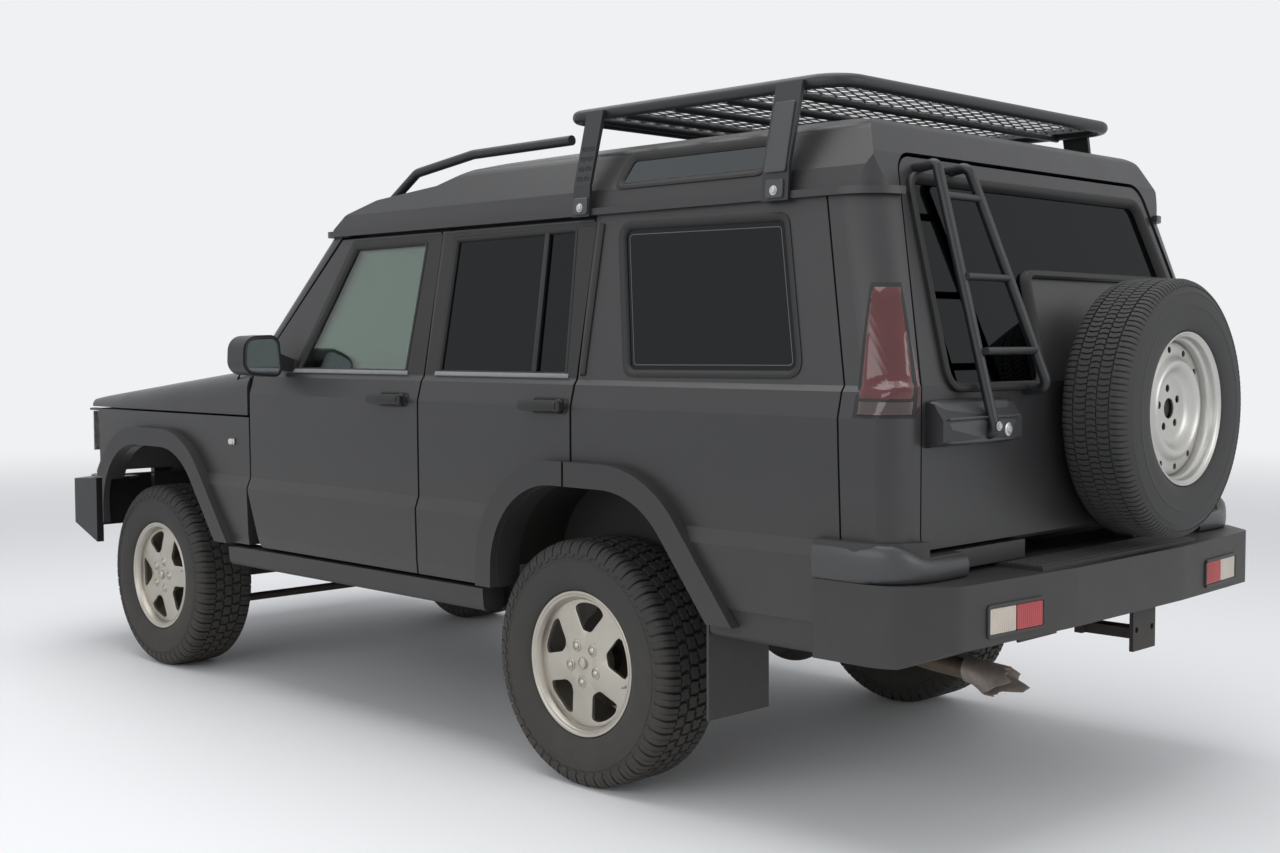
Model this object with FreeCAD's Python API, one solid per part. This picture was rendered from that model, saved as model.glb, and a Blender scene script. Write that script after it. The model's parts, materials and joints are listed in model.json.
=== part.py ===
"""Lifted off-road 4x4 estate: an assembly of separate panels, glass, running gear and fittings.

Millimetres. x runs forward from the rear axle, y to the left, z up from the ground.
The finished solids are shifted along x so that the frame's origin is under the middle of the vehicle.
"""
import FreeCAD, Part
import math
import os

V = FreeCAD.Vector
os.makedirs("parts", exist_ok=True)

# ------------------------------------------------------------------ driving sizes
wheelbase = 2540.0
track_front = 1540.0
track_rear = 1560.0
tyre_radius = 367.5           # out to the tips of the tread blocks
tyre_width = 245.0
rim_radius = 216.0            # over the rim's flange
rim_bead_radius = 203.0       # where the tyre's bead sits
spare_radius = 365.0
spare_width = 225.0
spare_y = -175.0
spare_z = 1125.0

side_y = 903.0                # body side at the waist groove
swage_y = 917.0               # lower body side, below the step
waist_z = 1205.0              # foot of the side windows
waist_y = 872.0
gutter_z = 1690.0             # foot of the roof
gutter_y = 782.0
roof_z = 1925.0
sill_z = 555.0                # lower edge of the doors
nose_x = 3130.0               # front of the bonnet
tail_x = -1130.0              # rear face of the tailgate
front_tip_x = 3350.0          # foremost face of the front bumper
screen_foot_x = 1872.0
screen_head_x = 1440.0
tail_head_x = -985.0          # rear face at the gutter

door_wall = 80.0              # whole thickness of a door or side wall below the glass
frame_wall = 45.0             # thickness of the window frames and pillars
glass_wall = 6.0
roof_wall = 30.0
shut_gap = 9.0                # gap all round a door
seat_gap = 0.3                # running clearance between pieces that rest on each other
edge_rake = 0.12              # plan slant of the shut faces, so that a door swings free

front_shut_x = 1787.0         # wing to front door
mid_shut_x = 753.0            # front door to rear door
rear_shut_x = 18.0            # rear door to quarter panel
corner_shut_x = -960.0        # quarter panel to corner panel, at the waist
corner_shut_head_x = -832.0   # the same shut line at the gutter
door_head_z = 1678.0

steer_pin_y = track_front / 2 - 140   # distance of the steering pins from the middle
axle_z = tyre_radius
front_axle_x = wheelbase
rear_axle_x = 0.0
hub_depth = 75.0              # from a rim's flange in to the hub's inner face
spare_face_x = tail_x - 14.0  # inner face of the spare tyre
spare_rear_x = spare_face_x - spare_width
origin_x = (front_tip_x + spare_rear_x) / 2

nodes = {}


# ------------------------------------------------------------------ shape helpers
def outline(points, place):
    """Closed wire through (u, v, radius) corners. place turns (u, v) into a point."""
    corners = []
    for i, (u, v, radius) in enumerate(points):
        corner = V(u, v, 0)
        before = V(points[i - 1][0], points[i - 1][1], 0) - corner
        after = V(points[(i + 1) % len(points)][0], points[(i + 1) % len(points)][1], 0) - corner
        if radius <= 0:
            corners.append((corner, corner, corner))
            continue
        before.normalize()
        after.normalize()
        half = before.getAngle(after) / 2
        back = radius / math.tan(half)
        bisector = before + after
        bisector.normalize()
        middle = corner + bisector * (radius / math.sin(half) - radius)
        corners.append((corner + before * back, middle, corner + after * back))
    edges = []
    for i, (start, middle, end) in enumerate(corners):
        if (end - start).Length > 1e-6:
            arc = Part.Arc(place(start.x, start.y), place(middle.x, middle.y), place(end.x, end.y))
            edges.append(arc.toShape())
        following = corners[(i + 1) % len(corners)][0]
        if (following - end).Length > 1e-6:
            edges.append(Part.makeLine(place(end.x, end.y), place(following.x, following.y)))
    return Part.Wire(edges)


def as_corners(points):
    """Give every bare (u, v) point a radius of 0."""
    return [tuple(p) if len(p) == 3 else (p[0], p[1], 0) for p in points]


def offset(points, spread):
    """Move every side of a closed outline outwards by spread, its arcs keeping their centres."""
    corners = as_corners(points)
    area = 0.0
    for (u0, v0, _), (u1, v1, _) in zip(corners, corners[1:] + corners[:1]):
        area += u0 * v1 - u1 * v0
    turn = 1 if area > 0 else -1
    moved = []
    for i, (u, v, radius) in enumerate(corners):
        before = V(u - corners[i - 1][0], v - corners[i - 1][1], 0)
        after = V(corners[(i + 1) % len(corners)][0] - u, corners[(i + 1) % len(corners)][1] - v, 0)
        before.normalize()
        after.normalize()
        out_before = V(before.y, -before.x, 0) * turn
        out_after = V(after.y, -after.x, 0) * turn
        mean = out_before + out_after
        scale = spread * 2 / (mean.Length ** 2)
        convex = before.cross(after).z * turn > 0
        if radius > 0:
            radius = max(radius + (spread if convex else -spread), 0.5)
        moved.append((u + mean.x * scale, v + mean.y * scale, radius))
    return moved


def prism_x(points, x0, x1):
    wire = outline(as_corners(points), lambda y, z: V(x0, y, z))
    return Part.Face(wire).extrude(V(x1 - x0, 0, 0))


def prism_y(points, y0, y1):
    wire = outline(as_corners(points), lambda x, z: V(x, y0, z))
    return Part.Face(wire).extrude(V(0, y1 - y0, 0))


def prism_z(points, z0, z1):
    wire = outline(as_corners(points), lambda x, y: V(x, y, z0))
    return Part.Face(wire).extrude(V(0, 0, z1 - z0))


def box(x0, x1, y0, y1, z0, z1):
    return Part.makeBox(x1 - x0, y1 - y0, z1 - z0, V(x0, y0, z0))


def rod(start, end, radius):
    direction = end - start
    return Part.makeCylinder(radius, direction.Length, start, direction)


def tube(points, radius, bend):
    """Round bar along a path of straight runs joined by bends of one radius."""
    edges = []
    last = points[0]
    for before, corner, after in zip(points, points[1:], points[2:]):
        arm_in = before - corner
        arm_out = after - corner
        arm_in.normalize()
        arm_out.normalize()
        half = arm_in.getAngle(arm_out) / 2
        back = bend / math.tan(half)
        bisector = arm_in + arm_out
        bisector.normalize()
        start = corner + arm_in * back
        end = corner + arm_out * back
        middle = corner + bisector * (bend / math.sin(half) - bend)
        edges.append(Part.makeLine(last, start))
        edges.append(Part.Arc(start, middle, end).toShape())
        last = end
    edges.append(Part.makeLine(last, points[-1]))
    path = Part.Wire(edges)
    run = points[1] - points[0]
    profile = Part.Wire(Part.makeCircle(radius, points[0], run))
    return path.makePipeShell([profile], True, False)


def ring(profile, centre, axis=V(0, 1, 0)):
    """Turn a closed (radius, offset) profile round an axis through centre; offsets run along y."""
    wire = outline(as_corners(profile), lambda r, y: V(centre.x + r, centre.y + y, centre.z))
    return Part.Face(wire).revolve(centre, axis, 360)


def fused(shapes):
    first = shapes[0]
    if len(shapes) > 1:
        first = first.multiFuse(shapes[1:])
    return first.removeSplitter()


def mirrored(shape):
    return shape.mirror(V(0, 0, 0), V(0, 1, 0))


def both(shape):
    """The piece on the left and its mirror image on the right."""
    return Part.makeCompound([shape, mirrored(shape)])


def side(shape, left):
    return shape if left else mirrored(shape)


# ------------------------------------------------------------------ body forms
# Half of the lower body's cross-section, from the sill up: (y, z)
lower_section = [
    (892, 440), (912, 600), (swage_y, 775), (side_y - 2, 815), (side_y, 1010),
    (side_y, 1125), (waist_y + 12, 1190), (waist_y, waist_z),
]
corner_radius = 110.0
screen_corner_radius = 70.0


def two_sided(half):
    """Close a half cross-section by its mirror image."""
    return half + [(-p[0],) + tuple(p[1:]) for p in reversed(half)]


def plan_rectangle(rear_x, front_x, half_width, rear_radius, front_radius):
    return [
        (rear_x, -half_width, rear_radius), (front_x, -half_width, front_radius),
        (front_x, half_width, front_radius), (rear_x, half_width, rear_radius),
    ]


def lower_form():
    section = prism_x(two_sided(lower_section), tail_x, front_shut_x + 200)
    plan = plan_rectangle(tail_x, front_shut_x + 200, swage_y + 3, corner_radius, 0)
    return section.common(prism_z(plan, 430, waist_z))


def cabin_form(inset):
    """Cabin between the waist and the gutter, its walls leaning in, set in by a wall's thickness."""
    profile = [(tail_x + inset, waist_z), (screen_foot_x - inset, waist_z), (screen_head_x - inset, gutter_z),
               (tail_head_x + inset, gutter_z)]
    section = [(inset - waist_y, waist_z), (waist_y - inset, waist_z), (gutter_y - inset, gutter_z),
               (inset - gutter_y, gutter_z)]
    form = prism_y(profile, -waist_y, waist_y).common(prism_x(section, tail_x, screen_foot_x))
    for radius, ahead in ((corner_radius, False), (screen_corner_radius, True)):
        corners = []
        for edge in form.Edges:
            heights = sorted(point.Point.z for point in edge.Vertexes)
            middle_x = edge.CenterOfMass.x
            if heights[-1] - heights[0] > 1 and (middle_x > 0) == ahead:
                corners.append(edge)
        form = form.makeFillet(radius - inset * 0.6, corners)
    return form


def roof_form(inset):
    """Roof above the gutter, with its raised rear half, set in by a wall's thickness."""
    profile = [
        # x, z, radius
        (screen_head_x - inset, gutter_z, 0), (1345 - inset, 1768 - inset, 60), (1190, 1812 - inset, 120),
        (870, 1840 - inset, 60), (640, 1904 - inset, 80), (100, roof_z - inset, 900),
        (-700, roof_z - 3 - inset, 400), (-905 + inset, 1893 - inset, 40), (-952 + inset, 1800 - inset, 0),
        (tail_head_x + inset, gutter_z, 0),
    ]
    section = [
        # y, z, radius
        (gutter_y - inset, gutter_z, 0), (765 - inset, 1765, 0), (706 - inset, 1880 - inset, 45),
        (560, 1918 - inset, 200), (0, roof_z + 6 - inset, 0),
    ]
    half = section[:-1] + [(0, roof_z + 6 - inset, 0)] + [(-y, z, r) for y, z, r in reversed(section[:-1])]
    form = prism_y(profile, -gutter_y, gutter_y)
    form = form.common(prism_x(half, tail_head_x - 5, screen_head_x + 5))
    plan = plan_rectangle(tail_head_x + inset, screen_head_x - inset, gutter_y + 5 - inset,
                          corner_radius - inset * 0.6, screen_corner_radius - inset * 0.6)
    return form.common(prism_z(plan, gutter_z, roof_z + 20))


def arch_outline(axle_x, rise, spread):
    """Wheel opening round an axle: rise lifts its top, spread widens it on every side."""
    opening = [
        (axle_x + 342, 380, 0), (axle_x + 335, 889 + rise, 270), (axle_x - 285, 889 + rise, 290),
        (axle_x - 690, 380, 0),
    ]
    return offset(opening, spread)


lower = lower_form()
cabin = cabin_form(0)
cabin_inside = cabin_form(frame_wall)
cabin_wall = cabin.cut(cabin_inside)
roof_solid = roof_form(0)
front_arch_rise = 8.0

# side walls of the lower body, left side
lower_wall = lower.cut(box(-1300, 2100, -1000, side_y - door_wall, 400, waist_z + 5))


# ------------------------------------------------------------------ shut lines (left side, x and z)
def shut_edge(x, forward):
    """A block whose one face is a raked shut face at x; it fills the space ahead of it or behind it."""
    far = 4000 if forward else -4000
    slope = edge_rake * 400
    points = [(x, side_y), (x + slope, side_y - 400), (x + far, side_y - 400), (x + far, side_y + 200),
              (x - edge_rake * 200, side_y + 200)]
    return prism_z(points, 300, 1760)


front_door_outline = [
    # x, z, radius
    (mid_shut_x - 200, sill_z + 6, 0), (1708, sill_z + 6, 30), (front_shut_x - shut_gap, 760, 60),
    (front_shut_x - shut_gap - 2, waist_z + 4, 0), (1334, door_head_z, 0), (mid_shut_x - 200, door_head_z, 0),
]
rear_door_outline = [
    (rear_shut_x - 200, sill_z + 6, 0), (mid_shut_x + 200, sill_z + 6, 0),
    (mid_shut_x + 200, door_head_z, 0), (rear_shut_x - 200, door_head_z, 0),
]
front_window = [
    (1505, waist_z + 12, 12), (1252, 1648, 25), (838, 1650, 15), (858, waist_z + 12, 12),
]
rear_window = [
    (690, waist_z + 12, 12), (688, 1650, 15), (108, 1655, 15), (72, waist_z + 12, 12),
]
quarter_window = [
    (-178, waist_z + 18, 40), (-78, 1655, 40), (-705, 1648, 40), (-818, waist_z + 22, 40),
]
alpine_window = [
    (-33, 1768, 25), (-55, 1862, 25), (-590, 1862, 25), (-603, 1768, 25),
]
tail_window = [
    # y, z, radius
    (668, waist_z - 8, 50), (622, 1742, 50), (-590, 1742, 50), (-650, 1500, 0),
    (170, 1500, 40), (212, waist_z - 8, 40),
]


def window_prism(points, spread=0.0):
    """A window's outline through the body side, moved out by a spread."""
    return prism_y(offset(points, spread), 600, 1000)


def side_glass(points):
    pane = cabin_form(10).cut(cabin_form(10 + glass_wall))
    return pane.common(window_prism(points, -seat_gap))


# ------------------------------------------------------------------ doors
hinge_y = side_y + 12


def flare(axle_x, rise):
    """Arch flare standing proud of the body side."""
    outer = prism_y(arch_outline(axle_x, rise, 78), swage_y - 30, swage_y + 24)
    inner = prism_y(arch_outline(axle_x, rise, 6), swage_y - 40, swage_y + 40)
    band = outer.cut(inner)
    band = band.cut(box(-2000, 4000, 800, 1000, 300, 562))
    return band.cut(lower_full)


def handle(x, z):
    """Pull handle: a bar on two feet."""
    bar = prism_z([(x - 90, side_y + 14, 8), (x + 90, side_y + 14, 8), (x + 90, side_y + 36, 14),
                   (x - 90, side_y + 36, 14)], z - 14, z + 14)
    feet = [box(x + dx - 12, x + dx + 12, side_y + seat_gap, side_y + 20, z - 10, z + 10) for dx in (-70, 70)]
    return fused([bar] + feet)


lower_full = fused([lower.cut(box(-1300, 2100, -1000, 800, 400, 1300)),
                    box(1987, 3100, 800, side_y, 440, 1045)])
front_arch = prism_y(arch_outline(front_axle_x, front_arch_rise, 0), 300, 1000)
rear_arch = prism_y(arch_outline(rear_axle_x, 0, 0), 600, 1000)

door_wall_all = fused([lower_wall, cabin_wall.common(box(-1300, 2100, 600, 1000, waist_z, gutter_z))])


def door_shell(points, rear_x, front_x, window):
    shell = door_wall_all.common(prism_y(points, 600, 1000))
    if rear_x is not None:
        shell = shell.common(shut_edge(rear_x, True))
    if front_x is not None:
        shell = shell.common(shut_edge(front_x, False))
    return shell.cut(window_prism(window))


front_door = door_shell(front_door_outline, mid_shut_x + shut_gap / 2, None, front_window)
rear_door = door_shell(rear_door_outline, rear_shut_x + shut_gap / 2, mid_shut_x - shut_gap / 2, rear_window)
rear_door = rear_door.cut(prism_y(arch_outline(rear_axle_x, 0, 4), 600, 1000))

rear_flare = flare(rear_axle_x, 0)
rear_flare_front = rear_flare.common(shut_edge(rear_shut_x + shut_gap / 2, True))
rear_flare_back = rear_flare.common(shut_edge(rear_shut_x - shut_gap / 2, False))

mirror_x = 1560.0
mirror_z = 1275.0


def mirror():
    """Door mirror: a rounded housing on an arm from the door's front corner."""
    housing = prism_x([(925, mirror_z - 85, 30), (1088, mirror_z - 70, 50), (1082, mirror_z + 62, 55),
                       (938, mirror_z + 70, 40)], mirror_x - 45, mirror_x + 60)
    lean = (waist_y - gutter_y) / (gutter_z - waist_z)
    arm = prism_x([(waist_y + seat_gap - lean * 8, waist_z + 8, 0), (940, mirror_z - 60, 0), (940, mirror_z + 10, 0),
                   (waist_y + seat_gap - lean * 50, waist_z + 50, 0)], mirror_x - 20, mirror_x + 35)
    return fused([housing, arm])


for name, left in (("left", True), ("right", False)):
    nodes["door_front_" + name] = side(front_door, left)
    nodes["door_front_" + name + "_glass"] = side(side_glass(front_window), left)
    nodes["door_front_" + name + "_fittings"] = side(Part.makeCompound([handle(905, 1128), mirror()]), left)
    nodes["door_rear_" + name] = side(rear_door, left)
    nodes["door_rear_" + name + "_glass"] = side(side_glass(rear_window), left)
    nodes["door_rear_" + name + "_fittings"] = side(Part.makeCompound([handle(130, 1128), rear_flare_front]), left)

# ------------------------------------------------------------------ tailgate
gate_y = 776.0                # half width at the foot
gate_head_y = 640.0
gate_foot_z = 795.0
gate_head_z = 1795.0
gate_wall = 55.0
gate_gap = 11.0               # wider than a door's, because the head leans in ahead of the hinges


def tail_skin(depth_from, depth_to):
    """Slab following the tail's upright lower face and leaning upper face."""
    lean = (tail_head_x - tail_x) / (gutter_z - waist_z)
    top = tail_x + lean * (1900 - waist_z)
    points = [(tail_x + depth_from, 700), (tail_x + depth_from, waist_z), (top + depth_from, 1900),
              (top + depth_to, 1900), (tail_x + depth_to, waist_z), (tail_x + depth_to, 700)]
    return prism_y(points, -1000, 1000)


def gate_outline(spread):
    edge = [
        (gate_y, gate_foot_z, 40), (gate_y, 1210, 0), (gate_head_y, gate_head_z, 60),
        (-gate_head_y, gate_head_z, 60), (-gate_y, 1210, 0), (-gate_y, gate_foot_z, 40),
    ]
    return offset(edge, spread)


gate = tail_skin(4, gate_wall).common(prism_x(gate_outline(0), -1400, -700))
gate = gate.cut(prism_x(tail_window, -1400, -700))
gate_hinge_x = tail_x - 9.0
gate_hinge_y = -gate_y - shut_gap / 2
hinge_heights = (880.0, 1070.0)


def gate_leaf(z):
    """The tailgate's half of a hinge: a leaf with the middle barrel."""
    leaf = box(gate_hinge_x - 4, tail_x + 5, gate_hinge_y, -gate_y + 45, z - 20, z + 20)
    return leaf.fuse(rod(V(gate_hinge_x, gate_hinge_y, z - 20), V(gate_hinge_x, gate_hinge_y, z + 20), 8))


def body_leaf(z):
    """The body's half of a hinge: a leaf with the two outer barrels."""
    pieces = []
    for low, high in ((z - 42, z - 20 - seat_gap), (z + 20 + seat_gap, z + 42)):
        pieces.append(rod(V(gate_hinge_x, gate_hinge_y, low), V(gate_hinge_x, gate_hinge_y, high), 8))
        pieces.append(box(gate_hinge_x - 3, tail_x + 3, gate_hinge_y - 22, gate_hinge_y - 1, low, high))
    return pieces


gate = fused([gate] + [gate_leaf(z) for z in hinge_heights])
nodes["tailgate"] = gate
gate_pane = tail_skin(12, 12 + glass_wall)
nodes["tailgate_glass"] = gate_pane.common(prism_x(offset(tail_window, -seat_gap), -1400, -700))

spare_hub_x = spare_face_x - spare_width / 2 - (spare_width * 0.40 - seat_gap - hub_depth)
carrier = rod(V(tail_x + 2, spare_y, spare_z), V(spare_hub_x + seat_gap, spare_y, spare_z), 62)
carrier = carrier.cut(tail_skin(3.7, 60))
bracket = box(spare_face_x + 1, tail_x + 4 - seat_gap, spare_y - 150, spare_y + 150, spare_z - 190, spare_z + 60)
handle_box = prism_y([(tail_x - 48, 1062, 12), (tail_x + 3.6, 1050, 0), (tail_x + 3.6, 1165, 0),
                      (tail_x - 20, 1158, 15), (tail_x - 48, 1120, 12)], 400, 760)
handle_box_space = prism_y([(tail_x - 48.3, 1000), (tail_x + 3, 1000), (tail_x + 3, 1180), (tail_x - 20, 1170),
                            (tail_x - 48.3, 1124)], 390, 770)
nodes["tailgate_fittings"] = Part.makeCompound([handle_box, fused([carrier, bracket])])

ladder_radius = 14.0


def ladder():
    """Two rails with hooked heads and feet that turn in to the tailgate, and three rungs."""
    stand = 66.0
    lean = (tail_head_x - tail_x) / (gutter_z - waist_z)

    def outer(z, off=stand):
        return tail_x + max(0.0, z - waist_z) * lean - off

    rails = []
    for head_y, foot_y, foot_z, reach in ((575, 555, 1085, 46), (430, 300, 1190, -3.5)):
        rails.append([V(outer(1765, -3.5), head_y, 1765), V(outer(1775), head_y, 1775),
                      V(outer(foot_z), foot_y, foot_z), V(outer(foot_z - 6, reach), foot_y, foot_z - 6)])
    pieces = [tube(points, ladder_radius, bend) for points, bend in zip(rails, (16, 24))]
    for z, share in ((1690, 0.15), (1480, 0.5), (1290, 0.82)):
        left_y = 575 - 15 * share
        right_y = 430 - 130 * share
        pieces.append(rod(V(outer(z), left_y, z), V(outer(z), right_y, z), 10))
    return fused(pieces).cut(tail_skin(3.7, 80)).cut(handle_box_space)


nodes["tailgate_ladder"] = ladder()

# ------------------------------------------------------------------ wheels
tyre_profile = [
    # radius, offset along the axle from the tyre's middle, corner radius
    (rim_bead_radius, -0.40, 0), (rim_radius + 1, -0.40, 0), (0.72, -0.50, 0), (0.93, -0.47, 0), (1.0, -0.38, 0),
    (1.0, 0.38, 0), (0.93, 0.47, 0), (0.72, 0.50, 0), (rim_radius + 1, 0.40, 0), (rim_bead_radius, 0.40, 0),
]


def tyre(centre, radius, width):
    profile = []
    for share, offset, corner in tyre_profile:
        r = share if share > 10 else share * radius
        profile.append((r, offset * width, corner))
    return ring(profile, centre)


def rim(centre, outward, width):
    """Dished wheel: a barrel, a web of five spokes and a hub."""
    half = width * 0.40 - seat_gap
    s = outward
    barrel = ring([(rim_bead_radius - seat_gap, -half * s, 0), (rim_bead_radius - seat_gap, half * s, 0),
                   (rim_radius - 26, half * s, 0), (rim_radius - 26, -half * s, 0)], centre)
    lip = ring([(rim_radius, (half + 0.4) * s, 0), (rim_radius, (half + 9) * s, 0),
                (rim_radius - 24, (half + 9) * s, 0), (rim_radius - 26, (half - 5) * s, 0),
                (rim_bead_radius - seat_gap - 1, (half - 5) * s, 0), (rim_bead_radius - seat_gap - 1, (half + 0.4) * s, 0)],
               centre)
    web = ring([(20, (half - 60) * s, 0), (20, (half - 38) * s, 0), (75, (half - 34) * s, 0),
                (rim_radius - 25, (half - 12) * s, 0), (rim_radius - 25, (half - 40) * s, 0),
                (75, (half - 66) * s, 0)], centre)
    hub = ring([(0.01, (half - hub_depth) * s, 0), (0.01, (half - 22) * s, 0), (34, (half - 22) * s, 0),
                (36, (half - 34) * s, 0), (36, (half - hub_depth) * s, 0)], centre)
    window = prism_y([(centre.x - 34, centre.z + 108, 14), (centre.x + 34, centre.z + 108, 14),
                      (centre.x + 52, centre.z + 172, 18), (centre.x - 52, centre.z + 172, 18)],
                     centre.y - width, centre.y + width)
    for i in range(5):
        turned = window.copy()
        turned.rotate(centre, V(0, 1, 0), 72 * i)
        web = web.cut(turned)
    return fused([barrel, lip, web, hub])


wheel_places = {
    # name: (x, y, outward)
    "front_left": (front_axle_x, track_front / 2, 1), "front_right": (front_axle_x, -track_front / 2, -1),
    "rear_left": (rear_axle_x, track_rear / 2, 1), "rear_right": (rear_axle_x, -track_rear / 2, -1),
}
for name, (x, y, outward) in wheel_places.items():
    centre = V(x, y, axle_z)
    nodes["tyre_" + name] = tyre(centre, tyre_radius, tyre_width)
    nodes["rim_" + name] = rim(centre, outward, tyre_width)

spare_centre = V(0, 0, 0)
spare_tyre = tyre(spare_centre, spare_radius, spare_width)
spare_rim = rim(spare_centre, 1, spare_width)
for piece in (spare_tyre, spare_rim):
    piece.rotate(V(0, 0, 0), V(0, 0, 1), 90)
    piece.translate(V(spare_face_x - spare_width / 2, spare_y, spare_z))
nodes["spare_tyre"] = spare_tyre
nodes["spare_rim"] = spare_rim

# ------------------------------------------------------------------ steering and axles
rod_x = front_axle_x - 185.0
rod_z = axle_z - 105.0
rod_radius = 16.0
yoke_gap = 110.0              # half height of the steering knuckle between its pins


def hub_end(wheel_y):
    """Where a hub meets the inner face of its rim."""
    return wheel_y + tyre_width * 0.40 - seat_gap - hub_depth - seat_gap


def knuckle(left):
    """Swivel housing with the hub, brake disc and steering arm, left side."""
    centre = V(front_axle_x, 0, axle_z)
    disc = ring([(30, 680, 0), (30, 702, 0), (150, 702, 0), (150, 680, 0)], centre)
    hub = rod(V(front_axle_x, steer_pin_y, axle_z), V(front_axle_x, hub_end(track_front / 2), axle_z), 58)
    hub = hub.cut(box(front_axle_x - 100, front_axle_x + 100, 0, steer_pin_y, 0, 1000))
    post = rod(V(front_axle_x, steer_pin_y, axle_z - yoke_gap), V(front_axle_x, steer_pin_y, axle_z + yoke_gap), 32)
    arm = box(front_axle_x - 205, front_axle_x - 20, 604, 640, rod_z + rod_radius + seat_gap, axle_z - 60)
    caliper = box(front_axle_x + 60, front_axle_x + 155, 660, 720, axle_z - 70, axle_z + 70)
    return side(fused([disc, hub, post, arm, caliper]), left)


nodes["knuckle_left"] = knuckle(True)
nodes["knuckle_right"] = knuckle(False)

axle_tube_end = 572.0
rear_hub_end = hub_end(track_rear / 2)


def axle(x, half, ball_y, with_hubs):
    tube_bar = rod(V(x, -half, axle_z), V(x, half, axle_z), 44)
    ball = Part.makeSphere(132, V(x, ball_y, axle_z))
    ball = ball.common(box(x - 150, x + 150, ball_y - 95, ball_y + 95, axle_z - 140, axle_z + 140))
    pieces = [tube_bar, ball]
    for s in (1, -1):
        if with_hubs:
            drum = rod(V(x, s * (half - 110), axle_z), V(x, s * (half - 45), axle_z), 145)
            pieces.append(drum)
        else:
            yoke = [box(x - 20, x + 20, half - 20, half + 12, axle_z - yoke_gap - 22, axle_z + yoke_gap + 22)]
            for low in (-yoke_gap - 22, yoke_gap + seat_gap):
                yoke.append(box(x - 26, x + 26, half, steer_pin_y, axle_z + low, axle_z + low + 22 - seat_gap))
                yoke.append(rod(V(x, steer_pin_y, axle_z + low), V(x, steer_pin_y, axle_z + low + 22 - seat_gap), 30))
            pieces += [side(piece, s > 0) for piece in yoke]
    return fused(pieces)


front_axle = axle(front_axle_x, axle_tube_end, -190, False)
rear_axle = axle(rear_axle_x, rear_hub_end, -110, True)
nodes["axles"] = Part.makeCompound([front_axle, rear_axle])

nodes["track_rod"] = rod(V(rod_x, -604, rod_z), V(rod_x, 604, rod_z), rod_radius)

# ------------------------------------------------------------------ chassis
rail_y = 345.0
rail_width = 72.0
sill_inner_y = 720.0
spring_y = 484.0
spring_head_z = 740.0
rail_profile = [
    # x, z
    (-1085, 560), (-720, 560), (-520, 640), (170, 640), (400, 500), (2050, 500), (2230, 640), (2860, 640),
    (2990, 560), (3060, 560), (3060, 690), (2990, 690), (2900, 740), (2200, 740), (2010, 610), (358, 610),
    (190, 740), (-560, 740), (-740, 670), (-1085, 670),
]
rails = [prism_y([(x, z) for x, z in rail_profile], y0, y0 + rail_width)
         for y0 in (rail_y, -rail_y - rail_width)]
cross_places = [
    # x0, x1, z0, z1
    (-1085, -1010, 575, 655), (-300, -240, 650, 730), (420, 500, 530, 605), (1120, 1200, 555, 608),
    (2960, 3040, 580, 670),
]
rail_outer_y = rail_y + rail_width
crosses = [box(x0, x1, seat_gap - rail_y, rail_y - seat_gap, z0, z1) for x0, x1, z0, z1 in cross_places]
outriggers = []
for x in (520, 1080, 1680):
    outrigger = box(x, x + 70, rail_outer_y + seat_gap, sill_inner_y - seat_gap, 515, 545)
    outriggers += [outrigger, mirrored(outrigger)]
towers = []
for x in (front_axle_x, rear_axle_x):
    tower = box(x - 62, x + 62, rail_y + 8, spring_y + 68, spring_head_z + seat_gap,
                spring_head_z + 12)
    towers += [tower, mirrored(tower)]
nodes["chassis_rails"] = Part.makeCompound(rails)
nodes["chassis_crossmembers"] = Part.makeCompound(crosses + outriggers + towers)

# springs, dampers and arms
suspension = []
for x, y, foot, head in ((front_axle_x, spring_y, axle_z + 44.3, spring_head_z),
                         (rear_axle_x, spring_y, axle_z + 44.3, spring_head_z)):
    turns = 6
    pitch = (head - foot) / turns
    profile = [(36, foot, 0)]
    for i in range(turns):
        profile += [(66, foot + pitch * i, 0), (66, foot + pitch * (i + 0.55), 0),
                    (50, foot + pitch * (i + 0.6), 0), (50, foot + pitch * (i + 0.95), 0)]
    profile += [(36, head, 0)]
    wire = outline(as_corners(profile), lambda r, z, x=x, y=y: V(x + r, y, z))
    spring = Part.Face(wire).revolve(V(x, y, 0), V(0, 0, 1), 360)
    suspension += [spring, mirrored(spring)]

arm_pieces = []
for s in (1, -1):
    arm_pieces.append(rod(V(front_axle_x - 44.4, s * 395, axle_z), V(front_axle_x - 900, s * 395, 455), 26))
    arm_pieces.append(rod(V(rear_axle_x + 44.4, s * 395, axle_z), V(rear_axle_x + 780, s * 395, 455), 24))
nodes["suspension"] = Part.makeCompound(suspension + arm_pieces)

# ------------------------------------------------------------------ driveline, tank, exhaust
nodes["engine_block"] = box(2080, 2790, -230, 230, 560, 1010)
gearbox = prism_x([(-170, 430, 40), (170, 430, 40), (150, 700, 60), (-150, 700, 60)], 1240, 2079.7)
shaft_rear = rod(V(1239, -110, 520), V(rear_axle_x + 110, -110, axle_z + 15), 30)
shaft_front = rod(V(1500, -190, 440), V(front_axle_x - 110, -190, axle_z + 10), 28)
gearbox = fused([gearbox, box(1400, 1560, -230, -100, 400, 560)])
nodes["driveline"] = fused([gearbox, shaft_rear.cut(rear_axle), shaft_front.cut(front_axle)])
nodes["fuel_tank"] = prism_y([(-1000, 460, 40), (-420, 430, 60), (-420, 560 - seat_gap, 20), (-1000, 560 - seat_gap, 20)], -360, 240)
exhaust_path = [V(1900, 255, 470), V(380, 255, 470), V(180, 265, 570), V(-300, 270, 590),
                V(-560, 455, 500), V(-1000, 540, 470), V(-1150, 550, 462)]
pipe = tube(exhaust_path, 26, 60)
silencer = prism_x([(175, 410, 50), (335, 410, 50), (335, 530, 50), (175, 530, 50)], 640, 1090)
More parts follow.
